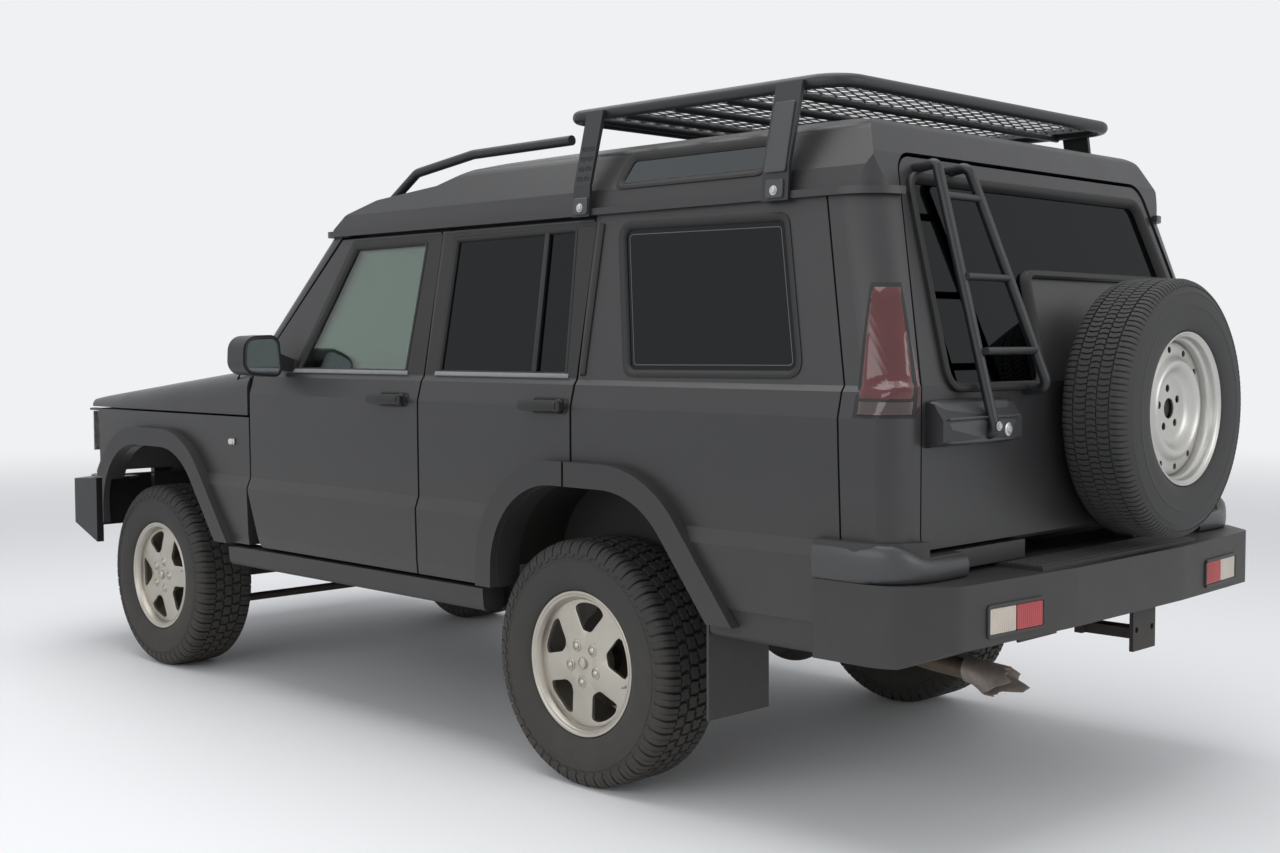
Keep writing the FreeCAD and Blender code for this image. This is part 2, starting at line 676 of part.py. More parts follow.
hanger = box(1155, 1163, 250, 262, 494, 555 - seat_gap)
nodes["exhaust"] = fused([pipe, silencer, hanger])

# ------------------------------------------------------------------ floor and inner frame
floor_y = side_y - door_wall - seat_gap


# shallow channel behind the rear door's hinged edge, whose inner corner swings in a little
relief_depth = 6.0
relief_rear_x = mid_shut_x - 38
relief_front_x = mid_shut_x + 24
hinge_relief = box(relief_rear_x, relief_front_x, floor_y - relief_depth, floor_y + 5, 480, waist_z)


def floor_pan():
    """Floor with its toe board, gearbox tunnel, raised load floor and the two rear wheel boxes."""
    tunnel = prism_x([(-204, 622), (-192, 727), (192, 727), (204, 622)], 1168, 1835)
    hollow = prism_x([(-192, 600), (-178, 712), (178, 712), (192, 600)], 1180, 1900)
    tunnel = tunnel.cut(hollow)
    tunnel_space = prism_x([(-207, 600), (-192.4, 727.4), (192.4, 727.4), (207, 600)], 1168 - seat_gap, 1900)
    toe = prism_y([(1700, 622), (1700, 640), (1830, 760), (1830, 1160), (1850, 1160), (1850, 750), (1718, 622)],
                  -floor_y, floor_y)
    front = fused([box(380, 1700, -floor_y, floor_y, 622, 640), toe]).cut(tunnel_space)
    load = fused([box(-1060, 378, -floor_y, floor_y, 772, 790),
                  box(360, 378, -floor_y, floor_y, 622, 790)])
    load = load.cut(box(0, 500, 640 - seat_gap, floor_y + 1, 600, 772)).cut(
        box(0, 500, -floor_y - 1, seat_gap - 640, 600, 772))
    boxes = []
    for s in (1, -1):
        shell = prism_y(arch_outline(rear_axle_x, 0, 22), 624, floor_y)
        shell = shell.cut(prism_y(arch_outline(rear_axle_x, 0, 6), 640, floor_y + 30))
        shell = shell.common(box(-900, 420, 600, 1000, 622, 1000))
        boxes.append(side(shell, s > 0))
        space = prism_y(arch_outline(rear_axle_x, 0, 22 + seat_gap), 624 - seat_gap, floor_y + 1)
        load = load.cut(side(space, s > 0))
        front = front.cut(side(space, s > 0))
    return [piece.cut(hinge_relief).cut(mirrored(hinge_relief)) for piece in [front, load, tunnel] + boxes]


nodes["floor_pan"] = Part.makeCompound(floor_pan())


def inner_frame():
    """Sills, centre pillars, screen pillars and roof rails that carry the doors."""
    pieces = []
    sill = box(430, 1800, sill_inner_y, floor_y, 480, 548)
    sill = sill.fuse(box(430, 1800, 760, floor_y, 540, 621.5))
    door_gap = door_wall + seat_gap
    post_low = box(670, 800, side_y - door_gap - 45, side_y - door_gap, 640 + seat_gap, waist_z)
    shell = cabin_form(frame_wall + seat_gap).cut(cabin_form(frame_wall + 40))
    post_high = shell.common(box(680, 810, 600, 900, waist_z, gutter_z))
    rail = shell.common(box(-100, screen_head_x, 600, 900, 1640, gutter_z))
    slot = cabin_form(frame_wall).cut(cabin_form(frame_wall + relief_depth))
    slot = slot.common(box(relief_rear_x, relief_front_x, 600, 900, waist_z, door_head_z + shut_gap))
    return [part.cut(hinge_relief).cut(slot) for part in (sill, post_low.fuse(post_high), rail)]


frame_left = fused(inner_frame())

# ------------------------------------------------------------------ fixed body panels
door_space = prism_y([(rear_shut_x - shut_gap / 2 - 300, sill_z - 2), (1715, sill_z - 2),
                      (front_shut_x, 758), (front_shut_x, waist_z), (1334 + shut_gap, door_head_z + shut_gap),
                      (rear_shut_x - 300, door_head_z + shut_gap)], 600, 1000)


bumper_front_x = -905.0
corner_foot_z = 735.0
panel_foot_z = 606.0


def behind_corner_shut(shift):
    """Everything behind the shut line between the quarter panel and the corner panel."""
    return prism_y([(-1400, 300), (corner_shut_x - 15 + shift, 300), (corner_shut_x - 15 + shift, corner_foot_z),
                    (corner_shut_x + shift, waist_z), (corner_shut_head_x + shift, gutter_z),
                    (corner_shut_head_x + shift, 1900), (-1400, 1900)], 200, 1000)


def quarter_panel():
    """Rear side panel with its window, from the door's rear shut line to the corner panel."""
    panel = door_wall_all.common(box(-1000, 100, 600, 1000, panel_foot_z, gutter_z))
    panel = panel.common(shut_edge(rear_shut_x - shut_gap / 2, False))
    panel = panel.cut(behind_corner_shut(3))
    panel = panel.cut(window_prism(quarter_window))
    panel = panel.cut(box(-2000, bumper_front_x + 3, 600, 1000, 400, corner_foot_z))
    return panel.cut(prism_y(arch_outline(rear_axle_x, 0, 4), 600, 1000))


def tail_corner():
    """Corner panel that wraps round from the side to the tailgate's edge."""
    solid = lower.cut(box(-1300, 2100, -1000, 1000, 400, corner_foot_z))
    solid = fused([solid, cabin])
    inside = fused([box(tail_x + gate_wall + 10, 2000, -(side_y - door_wall), side_y - door_wall, 400, waist_z),
                    cabin_form(gate_wall + 10)])
    wall = solid.cut(inside)
    wall = wall.common(behind_corner_shut(-3)).common(box(-1300, 0, 300, 1000, corner_foot_z, gutter_z))
    return wall.cut(prism_x(gate_outline(gate_gap), -1400, -700))


corner_left = tail_corner()
lamp_block = box(-1300, -1012, 600, 1000, 1130, 1462)
lamp = corner_left.common(lamp_block)
lamp = lamp.common(prism_x([(1000, 1130, 0), (1000, 1462, 0), (760, 1462, 30), (795, 1130, 30)], -1300, -900))
corner_panel = corner_left.cut(lamp)
hinge_leaves = [piece for z in hinge_heights for piece in body_leaf(z)]
nodes["rear_side_panels"] = Part.makeCompound([quarter_panel(), corner_panel, mirrored(quarter_panel()),
                                               fused([mirrored(corner_panel)] + hinge_leaves)])


def side_screen(window):
    pane = cabin_form(8).cut(cabin_form(8 + glass_wall))
    return pane.common(window_prism(window, -seat_gap))


alpine_pane = roof_form(5).cut(roof_form(5 + glass_wall))
alpine = alpine_pane.common(window_prism(alpine_window, -seat_gap))

# windscreen: an opening in the cabin's front wall
screen_outline = [(-700, 1238, 60), (700, 1238, 60), (640, 1655, 60), (-640, 1655, 60)]
screen_prism = prism_x(screen_outline, 1300, 2000)
screen = cabin_form(8).cut(cabin_form(8 + glass_wall))
screen = screen.common(prism_x(offset(screen_outline, -seat_gap), 1300, 2000))
nodes["fixed_glass"] = Part.makeCompound([screen, side_screen(quarter_window),
                                          mirrored(side_screen(quarter_window)), alpine, mirrored(alpine)])

# screen surround: pillars either side of the windscreen and the header above it
surround = cabin_wall.common(box(1200, 2000, -900, 900, waist_z, gutter_z))
surround = surround.cut(screen_prism)
for s in (1, -1):
    surround = surround.cut(side(door_space, s > 0))
surround = surround.common(prism_y([(1905, waist_z), (1905, waist_z + 30), (1480, 1695), (1300, 1695),
                                    (1300, 1640), (1250, 1640), (1700, waist_z)], -1000, 1000))
nodes["pillar_frame"] = Part.makeCompound([surround, frame_left, mirrored(frame_left)])

roof_shell = roof_solid.cut(roof_form(roof_wall))
roof_shell = roof_shell.fuse(roof_solid.common(box(-1000, 1500, -800, 800, gutter_z, gutter_z + 6)).cut(
    box(-880, 1380, -(gutter_y - 80), gutter_y - 80, gutter_z - 1, gutter_z + 10)))
roof_shell = roof_shell.cut(window_prism(alpine_window))
roof_shell = roof_shell.cut(mirrored(window_prism(alpine_window)))
roof_shell = roof_shell.cut(prism_x(gate_outline(gate_gap), -1400, -860))


gutter_end_y = gate_y + (gate_head_y - gate_y) * (gutter_z - 1210) / (gate_head_z - 1210) + shut_gap


def gutter():
    """Rain gutter round the foot of the roof, open above the tailgate."""
    outer = plan_rectangle(tail_head_x - 16, screen_head_x + 14, gutter_y + 14, corner_radius + 14, screen_corner_radius - 10)
    inner = plan_rectangle(tail_head_x, screen_head_x, gutter_y, corner_radius, screen_corner_radius)
    band = prism_z(outer, gutter_z, gutter_z + 20).cut(prism_z(inner, gutter_z - 10, gutter_z + 40))
    return band.cut(box(-1200, -900, -gutter_end_y, gutter_end_y, 1600, 1800))


roof_shell = fused([roof_shell, gutter().cut(roof_form(1))])
nodes["roof_panel"] = roof_shell


# ------------------------------------------------------------------ front end
bonnet_slope = 0.105
bonnet_section = [
    # y, z at the nose, radius
    (side_y, 850, 0), (side_y, 1062, 75), (770, 1090, 120), (520, 1094, 0), (0, 1098, 0),
]


def nose_form(inset):
    """Front end above the wheels: the bonnet's section drawn back up its slope."""
    half = [(y - inset if y > 0 else 0, z - (inset if z > 900 else 0), max(r - inset, 0)) for y, z, r in bonnet_section]
    whole = half + [(-y, z, r) for y, z, r in reversed(half[:-1])]
    wire = outline(as_corners(whole), lambda y, z: V(nose_x + 40, y, z - 4))
    form = Part.Face(wire).extrude(V(-1500, 0, 1500 * bonnet_slope))
    profile = [(1600, 500, 0), (nose_x - 12 - inset, 500, 0), (nose_x - inset, 1000, 0), (nose_x - inset, 1082 - inset, 60),
               (2100, 1201 - inset, 900), (1600, 1230 - inset, 0)]
    plan = plan_rectangle(1600, nose_x - inset, side_y - inset + 0.01, 0, 120 - inset * 0.6)
    return form.common(prism_y(profile, -1000, 1000)).common(prism_z(plan, 500, 1400))


nose = nose_form(0)
bonnet_z = 1046.0
bonnet_space = prism_z([(front_shut_x + 8, -1000, 0), (4000, -1000, 0), (4000, 1000, 0), (front_shut_x + 8, 1000, 0),
                        (front_shut_x + 8, 888, 0), (1892, 888, 0), (1935, 838, 0), (1935, -838, 0),
                        (1892, -888, 0), (front_shut_x + 8, -888, 0)],
                       bonnet_z, 1400)
bonnet = nose.common(bonnet_space).cut(nose_form(28))
nodes["bonnet"] = bonnet

wing_outline = [
    (front_shut_x, bonnet_z - 8), (nose_x + 10, bonnet_z - 8), (nose_x + 10, 748), (2860, 748), (2600, 562),
    (1717, 562), (front_shut_x, 760),
]


def wing():
    """Front wing with its flange under the bonnet and the wheel's inner arch."""
    skin = lower_full_nose.common(prism_y(wing_outline, 860, 1000))
    skin = skin.common(box(front_shut_x, 4000, 0, 1000, 0, 2000))
    flange = box(1960, 3060, 640, 870, bonnet_z - 30, bonnet_z - 8)
    upright = box(1960, 3060, 640, 655, 920 + seat_gap, bonnet_z - 8)
    arch_out = prism_y([(front_axle_x + 475, 560, 0), (front_axle_x + 475, 760, 60),
                        (front_axle_x + 320, 920, 120), (front_axle_x - 310, 920, 280),
                        (front_axle_x - 640, 560, 0)], 450, 860 - seat_gap)
    arch_in = prism_y([(front_axle_x + 463, 540, 0), (front_axle_x + 463, 752, 50),
                       (front_axle_x + 315, 906, 110), (front_axle_x - 302, 906, 270),
                       (front_axle_x - 640, 540, 0)], 440, 880)
    liner = arch_out.cut(arch_in)
    liner = liner.cut(box(0, 1960, 0, 1000, 0, 2000)).cut(box(2940, 4000, 0, 1000, 0, 748))
    liner = liner.cut(box(3010 - seat_gap, 4000, 0, 1000, 0, 2000))
    skin = fused([skin, flange, upright]).cut(prism_y(arch_outline(front_axle_x, front_arch_rise, 4), 855, 1000))
    liner = liner.cut(prism_y(arch_outline(front_axle_x, front_arch_rise, 4), 855, 1000))
    return skin, liner


lower_band = prism_x([(850, 440), (892, 440), (912, 600), (swage_y, 775), (side_y - 2, 815), (side_y, 1010),
                      (side_y, 1060), (850, 1060)], 1600, nose_x + 50)
nose_plan = prism_z(plan_rectangle(1600, nose_x, swage_y + 2, 0, 125), 400, 1100)
lower_full_nose = lower_band.common(nose_plan)
wing_left, liner_left = wing()
scuttle_plan = [(front_shut_x + 8, -880), (1884, -880), (1927, -834), (1927, 834), (1884, 880),
                (front_shut_x + 8, 880)]
scuttle = nose.common(prism_z(scuttle_plan, 1150, 1400)).cut(nose_form(20))
scuttle = scuttle.cut(box(1700, 1873, -900, 900, waist_z - seat_gap, 1400))
bonnet_hinge_x = 1812.0
bonnet_hinge_z = 1180.0
bosses = [side(fused([box(1800, 1824, 868, 880, bonnet_hinge_z - 12, waist_z - 8),
                      rod(V(bonnet_hinge_x, 870, bonnet_hinge_z), V(bonnet_hinge_x, 888 - seat_gap, bonnet_hinge_z), 9)]),
               left) for left in (True, False)]
scuttle = fused([scuttle] + bosses)
front_plate = box(3010, 3040, -639.7, 639.7, 690.3, bonnet_z - 12)
front_plate = front_plate.cut(box(3000, 3050, -420, 420, 710, 980))
front_panel = fused([front_plate, box(3012, 3038, -421, 421, 709, 981)])

lamp_prism = box(2985, 3200, 560, 950, 752, 1030)
headlamp_solid = nose_form(0).common(lamp_prism)
wing_left_cut = wing_left.cut(lamp_prism)
nodes["front_end_panels"] = Part.makeCompound([wing_left_cut, mirrored(wing_left_cut), front_panel, scuttle])
nodes["arch_liners"] = both(liner_left.cut(lamp_prism))
headlamp = headlamp_solid.common(box(3040 + seat_gap, 3200, 565, 898, 756, 1026))
repeater = prism_y([(1885, 932, 8), (1920, 932, 8), (1920, 956, 8), (1885, 956, 8)], side_y + seat_gap, side_y + 8)
nodes["front_lamps"] = Part.makeCompound([headlamp, mirrored(headlamp), repeater, mirrored(repeater)])


def grille():
    """Surround and slats between the headlamps."""
    frame = box(3060, nose_x - 6, -556, 556, 752, 1030).cut(box(3050, nose_x + 10, -530, 530, 776, 1006))
    slats = [box(3066, nose_x - 12, -540, 540, z, z + 16) for z in range(800, 1000, 42)]
    back = box(3040 + seat_gap, 3062, -556, 556, 752, 1030)
    return fused([frame, back] + slats)


nodes["grille"] = grille()

def front_bumper():
    """Steel bumper: a deep beam with cut-away corners that sweep back round the wings."""
    beam = prism_y([(3150, 560), (front_tip_x, 560), (front_tip_x, 705), (front_tip_x - 20, 725), (3150, 735)],
                   -700, 700)
    wing_end = prism_y([(2978, 470), (3180, 540), (front_tip_x, 600), (front_tip_x, 700), (3330, 722), (2978, 742)],
                       690, 925)
    plan = prism_z([(2970, 780), (2970, 925), (3180, 925), (front_tip_x, 760), (front_tip_x, 600), (3140, 600)],
                   400, 800)
    end = wing_end.fuse(prism_y([(3150, 560), (front_tip_x, 560), (front_tip_x, 700), (3330, 722), (3150, 735)],
                                600, 700)).common(plan)
    hollow = box(2900, 3130, 600, 895, 400, 728)
    end = end.cut(hollow)
    mounts = [box(3060.3, 3151, s * 383 - 36, s * 383 + 36, 580, 680) for s in (1, -1)]
    eyes = []
    for s in (1, -1):
        eye = box(front_tip_x - 130, front_tip_x - 30, s * 420 - 12, s * 420 + 12, 500, 562)
        eyes.append(eye.cut(rod(V(front_tip_x - 75, s * 420 - 20, 530), V(front_tip_x - 75, s * 420 + 20, 530), 13)))
    return fused([beam, end, mirrored(end)] + mounts + eyes)


nodes["front_bumper"] = front_bumper()

# ------------------------------------------------------------------ rear bumper, trims
def rear_bumper():
    """Deep rear bumper that wraps round to the wheel arches, with a step on top and recessed lamps."""
    plan = [(bumper_front_x, 926, 0), (-1120, 926, 140), (-1255, 800, 60), (-1290, 300, 300), (-1290, -300, 300),
            (-1255, -800, 60), (-1120, -926, 140), (bumper_front_x, -926, 0)]
    body = prism_z(plan, 520, 722)
    body = body.cut(prism_z([(-880, 880, 0), (-1060, 880, 60), (-1150, 780, 60), (-1150, -780, 60),
                             (-1060, -880, 60), (-880, -880, 0)], 500, 702))
    step = box(-1262, -1085, -430, 430, 721, 733)
    low_cut = prism_y([(-1400, 500), (-1100, 500), (-1240, 560), (-1400, 580)], -1000, 1000)
    return body.fuse(step).cut(low_cut)


bumper = rear_bumper()
lamp_slots = []
lamps = []
for s in (1, -1):
    slot = side(box(-1400, -1150, 455, 690, 584, 662), s > 0)
    piece = bumper.common(side(box(-1400, -1200 - seat_gap, 455 + seat_gap, 690 - seat_gap, 584 + seat_gap,
                                   662 - seat_gap), s > 0))
    lamps.append(piece)
    lamp_slots.append(slot)
for slot in lamp_slots:
    bumper = bumper.cut(slot.cut(box(-1200, -1000, -1000, 1000, 500, 800)))
nodes["rear_bumper"] = fused([bumper, box(-1152, -1085.3, -420, 420, 600, 650)])
nodes["rear_lamps"] = Part.makeCompound([lamp, mirrored(lamp)] + lamps)
tow_y = -140.0
tow_z = 500.0
tow_bolt_spacing = 90.0
tow_bolt_radius = 8.5
flange = box(-1252, -1240, tow_y - 65, tow_y + 65, tow_z - 60, tow_z + 60)
for s in (1, -1):
    bolt_y = tow_y + s * tow_bolt_spacing / 2
    flange = flange.cut(rod(V(-1260, bolt_y, tow_z), V(-1230, bolt_y, tow_z), tow_bolt_radius))
nodes["tow_bracket"] = fused([box(-1240, -1060, tow_y - 30, tow_y + 30, tow_z - 30, tow_z),
                              flange,
                              box(-1085, -1060, tow_y - 50, tow_y + 50, tow_z - 30, 575 - seat_gap)])


def lower_trims():
    """Sill covers, corner trims over the bumper's ends and the rear mud flaps, left side."""
    sill = prism_x([(floor_y + seat_gap, 470, 20), (905, 475, 25), (912, 548, 6), (floor_y + seat_gap, 548, 0)], 405, 1930)
    sill = sill.cut(prism_y(arch_outline(rear_axle_x, 0, 78), 700, 1000))
    plan = [(-905, 800, 0), (-905, 928, 0), (-1100, 928, 120), (-1160, 800, 60), (-1160, 640, 0),
            (-1132, 640, 0), (-1132, 760, 0), (-1080, 800, 0)]
    corner = prism_z(plan, 724, 822)
    corner = corner.cut(lower).cut(box(-1300, -800, 0, side_y + 0.5, 700, 734))
    corner = corner.cut(box(-1300, -800, 0, gate_y + gate_gap, gate_foot_z - gate_gap, 900))
    flap = box(-532, -524, 655, 905, 290, panel_foot_z - seat_gap)
    valance = prism_x([(850, 520, 15), (902, 524, 20), (908, panel_foot_z - seat_gap, 0),
                       (850, panel_foot_z - seat_gap, 0)], bumper_front_x + seat_gap, -535)
    return [sill, corner, flap, valance]


trims = lower_trims()
nodes["lower_trims"] = Part.makeCompound(trims + [mirrored(p) for p in trims])

front_flare = prism_y(arch_outline(front_axle_x, front_arch_rise, 78), swage_y - 30, swage_y + 24)
front_flare = front_flare.cut(prism_y(arch_outline(front_axle_x, front_arch_rise, 6), 800, 1000))
front_flare = front_flare.cut(lower_full_nose).cut(box(1000, 4000, 800, 1000, 300, 562))
front_flare = front_flare.cut(box(2890, 4000, 800, 1000, 300, 757))
nodes["arch_flares"] = Part.makeCompound([front_flare, mirrored(front_flare), rear_flare_back,
                                          mirrored(rear_flare_back)])

# ------------------------------------------------------------------ inside
def seat(x, y, half):
    """Cushion, reclined back and headrest in one."""
    profile = [(x - 30, 742, 0), (x + 520, 742, 30), (x + 520, 845, 45), (x + 110, 825, 30), (x - 90, 1330, 30),
               (x - 190, 1310, 30)]
    body = prism_y(profile, y - half, y + half)
    rest = prism_y([(x - 110, 1325, 0), (x - 130, 1480, 40), (x - 230, 1460, 40), (x - 195, 1300, 0)],
                   y - 130, y + 130)
    return fused([body, rest])


seat_y = 380.0
front_seats = [seat(1010, y, 225) for y in (seat_y, -seat_y)]
bases = [box(1030, 1450, y - 165, y + 165, 640.3, 752) for y in (seat_y, -seat_y)]
nodes["front_seats"] = Part.makeCompound([f.fuse(b).removeSplitter() for f, b in zip(front_seats, bases)])
rear_seat = prism_y([(20, 860, 0), (500, 870, 30), (500, 960, 30), (130, 950, 30), (-70, 1370, 30),
                     (-170, 1350, 30)], -600, 600)
nodes["rear_seat"] = fused([rear_seat, box(60, 377, -560, 560, 790.3, 885)])
dash = prism_y([(1560, 960, 40), (1600, 1180, 60), (1780, 1198, 30), (1829.7, 1155, 0), (1829.7, 960, 0)],
               -floor_y + 45, floor_y - 45)
column = rod(V(1600, -365, 1060), V(1500, -365, 1100), 32)
nodes["dashboard"] = fused([dash, column])
wheel_middle = V(1468, -365, 1113)
column_axis = V(-100, 0, 40)
column_axis.normalize()
rim_ring = Part.makeTorus(185, 14, wheel_middle, column_axis)
column_reach = (wheel_middle - V(1500, -365, 1100)).Length
wheel_hub = rod(wheel_middle - column_axis * (column_reach - seat_gap), wheel_middle + column_axis * 15, 55)
spokes = []
across = V(0, 1, 0)
up = column_axis.cross(across)
for turn in (90, 210, 330):
    direction = across * math.cos(math.radians(turn)) + up * math.sin(math.radians(turn))
    spokes.append(rod(wheel_middle + direction * 40, wheel_middle + direction * 180, 12))
nodes["steering_wheel"] = fused([rim_ring, wheel_hub] + spokes)

# ------------------------------------------------------------------ roof rails and rack
rail_bar = tube([V(1275, 640, 1795), V(1090, 640, 1905), V(790, 632, 1945), V(300, 632, 1948)], 16, 60)
rail_bar = rail_bar.cut(roof_form(-0.3))
nodes["roof_rails"] = both(rail_bar)
rack_rise = 75.0              # from the roof's crown up to the rack's tubes
rack_z = roof_z + rack_rise
rack_y = 715.0
rack_front_x = 215.0
rack_rear_x = -820.0


def rack():
    """Tray of round tube with cross bars, on four bent plate legs that clamp to the gutters."""
    r = 19.0
    rim_points = [V(-300, rack_y, rack_z), V(rack_rear_x, rack_y, rack_z), V(rack_rear_x, -rack_y, rack_z),
                  V(-300, -rack_y, rack_z)]
    rear_hoop = tube(rim_points, r, 90)
    front_hoop = tube([V(-300, rack_y, rack_z), V(rack_front_x, rack_y, rack_z), V(rack_front_x, -rack_y, rack_z),
                       V(-300, -rack_y, rack_z)], r, 60)
    bars = [rod(V(x, -rack_y, rack_z - 14), V(x, rack_y, rack_z - 14), 11) for x in (-620, -420, -220, -20, 120)]
    pieces = [rear_hoop, front_hoop] + bars
    return pieces


def rack_leg(x, width):
    """Bent plate from the gutter up and out to the tray, left side."""
    plate = [(gutter_y + 14.3, gutter_z - 4, 0), (gutter_y + 24, gutter_z - 4, 0), (gutter_y + 18, gutter_z + 90, 0),
             (745, rack_z + 4, 0), (705, rack_z + 4, 0), (705, rack_z - 8, 0), (735, rack_z - 12, 0),
             (gutter_y + 8, gutter_z + 90, 0), (gutter_y + 14.3, gutter_z + 26, 0)]
    return prism_x(plate, x - width / 2, x + width / 2)


legs = []
for x, width in ((75, 70), (-675, 90)):
    leg = rack_leg(x, width)
    legs += [leg, mirrored(leg)]
nodes["roof_rack"] = fused(rack() + legs)
mesh = prism_z(plan_rectangle(rack_rear_x + 20, rack_front_x - 20, rack_y - 20, 72, 42), rack_z - 2.6, rack_z + 1.4)
nodes["roof_rack_mesh"] = mesh

# ------------------------------------------------------------------ write the pieces
for name, shape in nodes.items():
    moved = shape.copy()
    moved.translate(V(-origin_x, 0, 0))
    moved.exportStep("parts/" + name + ".step")
    print(name, len(moved.Solids), round(moved.Volume / 1e6, 2), moved.isValid())
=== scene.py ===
# %% [markdown]
# # A lifted off-road estate car
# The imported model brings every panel, wheel and bracket at its real size, and this lesson gives them their looks.
# The frame also says which body each piece rides on. Lengths are counted from the rear axle's place on the ground,
# because an axle is where a workshop measures a car from.

# %% The frame and its sizes
import json
import math

import bmesh
import bpy
from mathutils import Matrix, Vector
from mathutils.bvhtree import BVHTree

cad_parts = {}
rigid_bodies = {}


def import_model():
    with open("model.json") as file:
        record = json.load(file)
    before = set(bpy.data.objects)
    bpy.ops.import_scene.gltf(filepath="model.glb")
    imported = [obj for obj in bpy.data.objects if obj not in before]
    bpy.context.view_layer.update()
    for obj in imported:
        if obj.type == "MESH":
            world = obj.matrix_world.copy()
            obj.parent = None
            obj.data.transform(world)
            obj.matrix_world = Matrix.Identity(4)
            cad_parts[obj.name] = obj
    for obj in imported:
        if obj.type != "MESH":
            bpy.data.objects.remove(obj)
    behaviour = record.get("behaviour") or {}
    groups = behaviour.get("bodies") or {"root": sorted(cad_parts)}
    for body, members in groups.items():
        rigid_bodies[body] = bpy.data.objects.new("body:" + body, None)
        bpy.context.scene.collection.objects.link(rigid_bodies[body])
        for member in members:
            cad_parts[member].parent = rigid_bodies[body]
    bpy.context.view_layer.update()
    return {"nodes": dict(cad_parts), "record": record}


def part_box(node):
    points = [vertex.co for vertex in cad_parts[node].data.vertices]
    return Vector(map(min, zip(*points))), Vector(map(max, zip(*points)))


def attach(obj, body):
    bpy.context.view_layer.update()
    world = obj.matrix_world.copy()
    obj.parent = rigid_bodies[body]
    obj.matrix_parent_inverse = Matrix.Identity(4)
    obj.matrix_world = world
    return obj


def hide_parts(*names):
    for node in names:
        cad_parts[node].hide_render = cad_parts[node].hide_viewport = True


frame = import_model()
nodes = frame["nodes"]
scene = bpy.context.scene
owner = {name: body for body, names in frame["record"]["behaviour"]["bodies"].items() for name in names}
gate = owner["tailgate"]
MM = 0.001
SIDES = (("left", 1), ("right", -1))  # each side's name and the sign of its y
CORNERS = [row + "_" + side for row in ("front", "rear") for side, _ in SIDES]

tyre_low, tyre_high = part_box("tyre_rear_left")
AXLE_X = (tyre_low[0] + tyre_high[0]) / 2
AXLE_Z = (tyre_low[2] + tyre_high[2]) / 2
print("pieces in the frame:", len(nodes), "rear axle at x", round(AXLE_X, 4))

# %% [markdown]
# ## Colours and nodes
# A hex code is written for a screen, and Blender mixes light in linear values, so one function turns the first into
# the second. A node tree could be drawn by hand, but it is easier to read and to repeat as a list of steps, so one
# small function adds a node with its settings and its links.

# %% Colours and nodes
def srgb(code):
    """A hex colour as the linear values that Blender works with."""
    parts = [int(code[i:i + 2], 16) / 255 for i in (1, 3, 5)]
    linear = [c / 12.92 if c <= 0.04045 else ((c + 0.055) / 1.055) ** 2.4 for c in parts]
    return (*linear, 1.0)


def add(tree, kind, inputs=None, **settings):
    """Add a node. settings are its properties; an input takes a value, a node, or one output of a node."""
    node = tree.nodes.new(kind)
    for name, value in settings.items():
        setattr(node, name, value)
    for socket, value in (inputs or {}).items():
        if isinstance(value, bpy.types.Node):
            value = value.outputs[0]
        if isinstance(value, bpy.types.NodeSocket):
            tree.links.new(value, node.inputs[socket])
        else:
            node.inputs[socket].default_value = value
    return node


print("mid grey #808080 is", round(srgb("#808080")[0], 3), "in linear light")

# %% [markdown]
# ## Camera
# The car stands three quarters on, seen from behind its left side at chest height. A camera object can be aimed by
# a constraint, but three angles say more plainly how it is held: its turn, its tilt and its small roll.

# %% Camera
CAMERA_PLACE = Vector((AXLE_X - 3.373, 4.010, AXLE_Z + 0.946))
CAMERA_TURN, CAMERA_TILT, CAMERA_ROLL = (math.radians(a) for a in (-45.035, -3.059, -0.124))
SENSOR_WIDTH, FOCAL_LENGTH = 36.0, 44.26  # millimetres


def put(name, data):
    """An object in the scene, at the origin until it is placed."""
    thing = bpy.data.objects.new(name, data)
    scene.collection.objects.link(thing)
    return thing


camera_data = bpy.data.cameras.new("camera")
camera_data.sensor_width, camera_data.lens = SENSOR_WIDTH, FOCAL_LENGTH
camera = put("camera", camera_data)
aim = Matrix.Rotation(CAMERA_TURN - math.pi / 2, 4, "Z") @ Matrix.Rotation(math.pi / 2 + CAMERA_TILT, 4, "X")
camera.matrix_world = Matrix.Translation(CAMERA_PLACE) @ aim @ Matrix.Rotation(CAMERA_ROLL, 4, "Z")
scene.camera = camera
print("camera", round(CAMERA_PLACE.z, 2), "m above the ground, lens", FOCAL_LENGTH, "mm")

# %% [markdown]
# ## Studio world
# In a studio the light comes from everywhere, off white walls. The world can be that wall: it lights the car softly,
# and wherever the camera, a gloss or a pane looks at it, it shows the plain backdrop's own colour instead.

# %% Studio world
BACKDROP = "#F0F1F3"
WALL_LIGHT, WALL_STRENGTH = "#F4F6FA", 0.62


def studio_world():
    world = bpy.data.worlds.new("studio")
    scene.world = world
    world.use_nodes = True
    tree = world.node_tree
    tree.nodes.clear()
    path = add(tree, "ShaderNodeLightPath").outputs
    seen = add(tree, "ShaderNodeMath", {0: path["Is Camera Ray"], 1: path["Is Glossy Ray"]}, operation="MAXIMUM")
    seen = add(tree, "ShaderNodeMath", {0: seen, 1: path["Is Transmission Ray"]}, operation="MAXIMUM")
    light = add(tree, "ShaderNodeBackground", {"Color": srgb(WALL_LIGHT), "Strength": WALL_STRENGTH})
    shown = add(tree, "ShaderNodeBackground", {"Color": srgb(BACKDROP), "Strength": 1.0})
    mixed = add(tree, "ShaderNodeMixShader", {0: seen, 1: light, 2: shown})
    add(tree, "ShaderNodeOutputWorld", {"Surface": mixed})


studio_world()
scene.view_settings.view_transform = "Standard"
print("world:", scene.world.name)

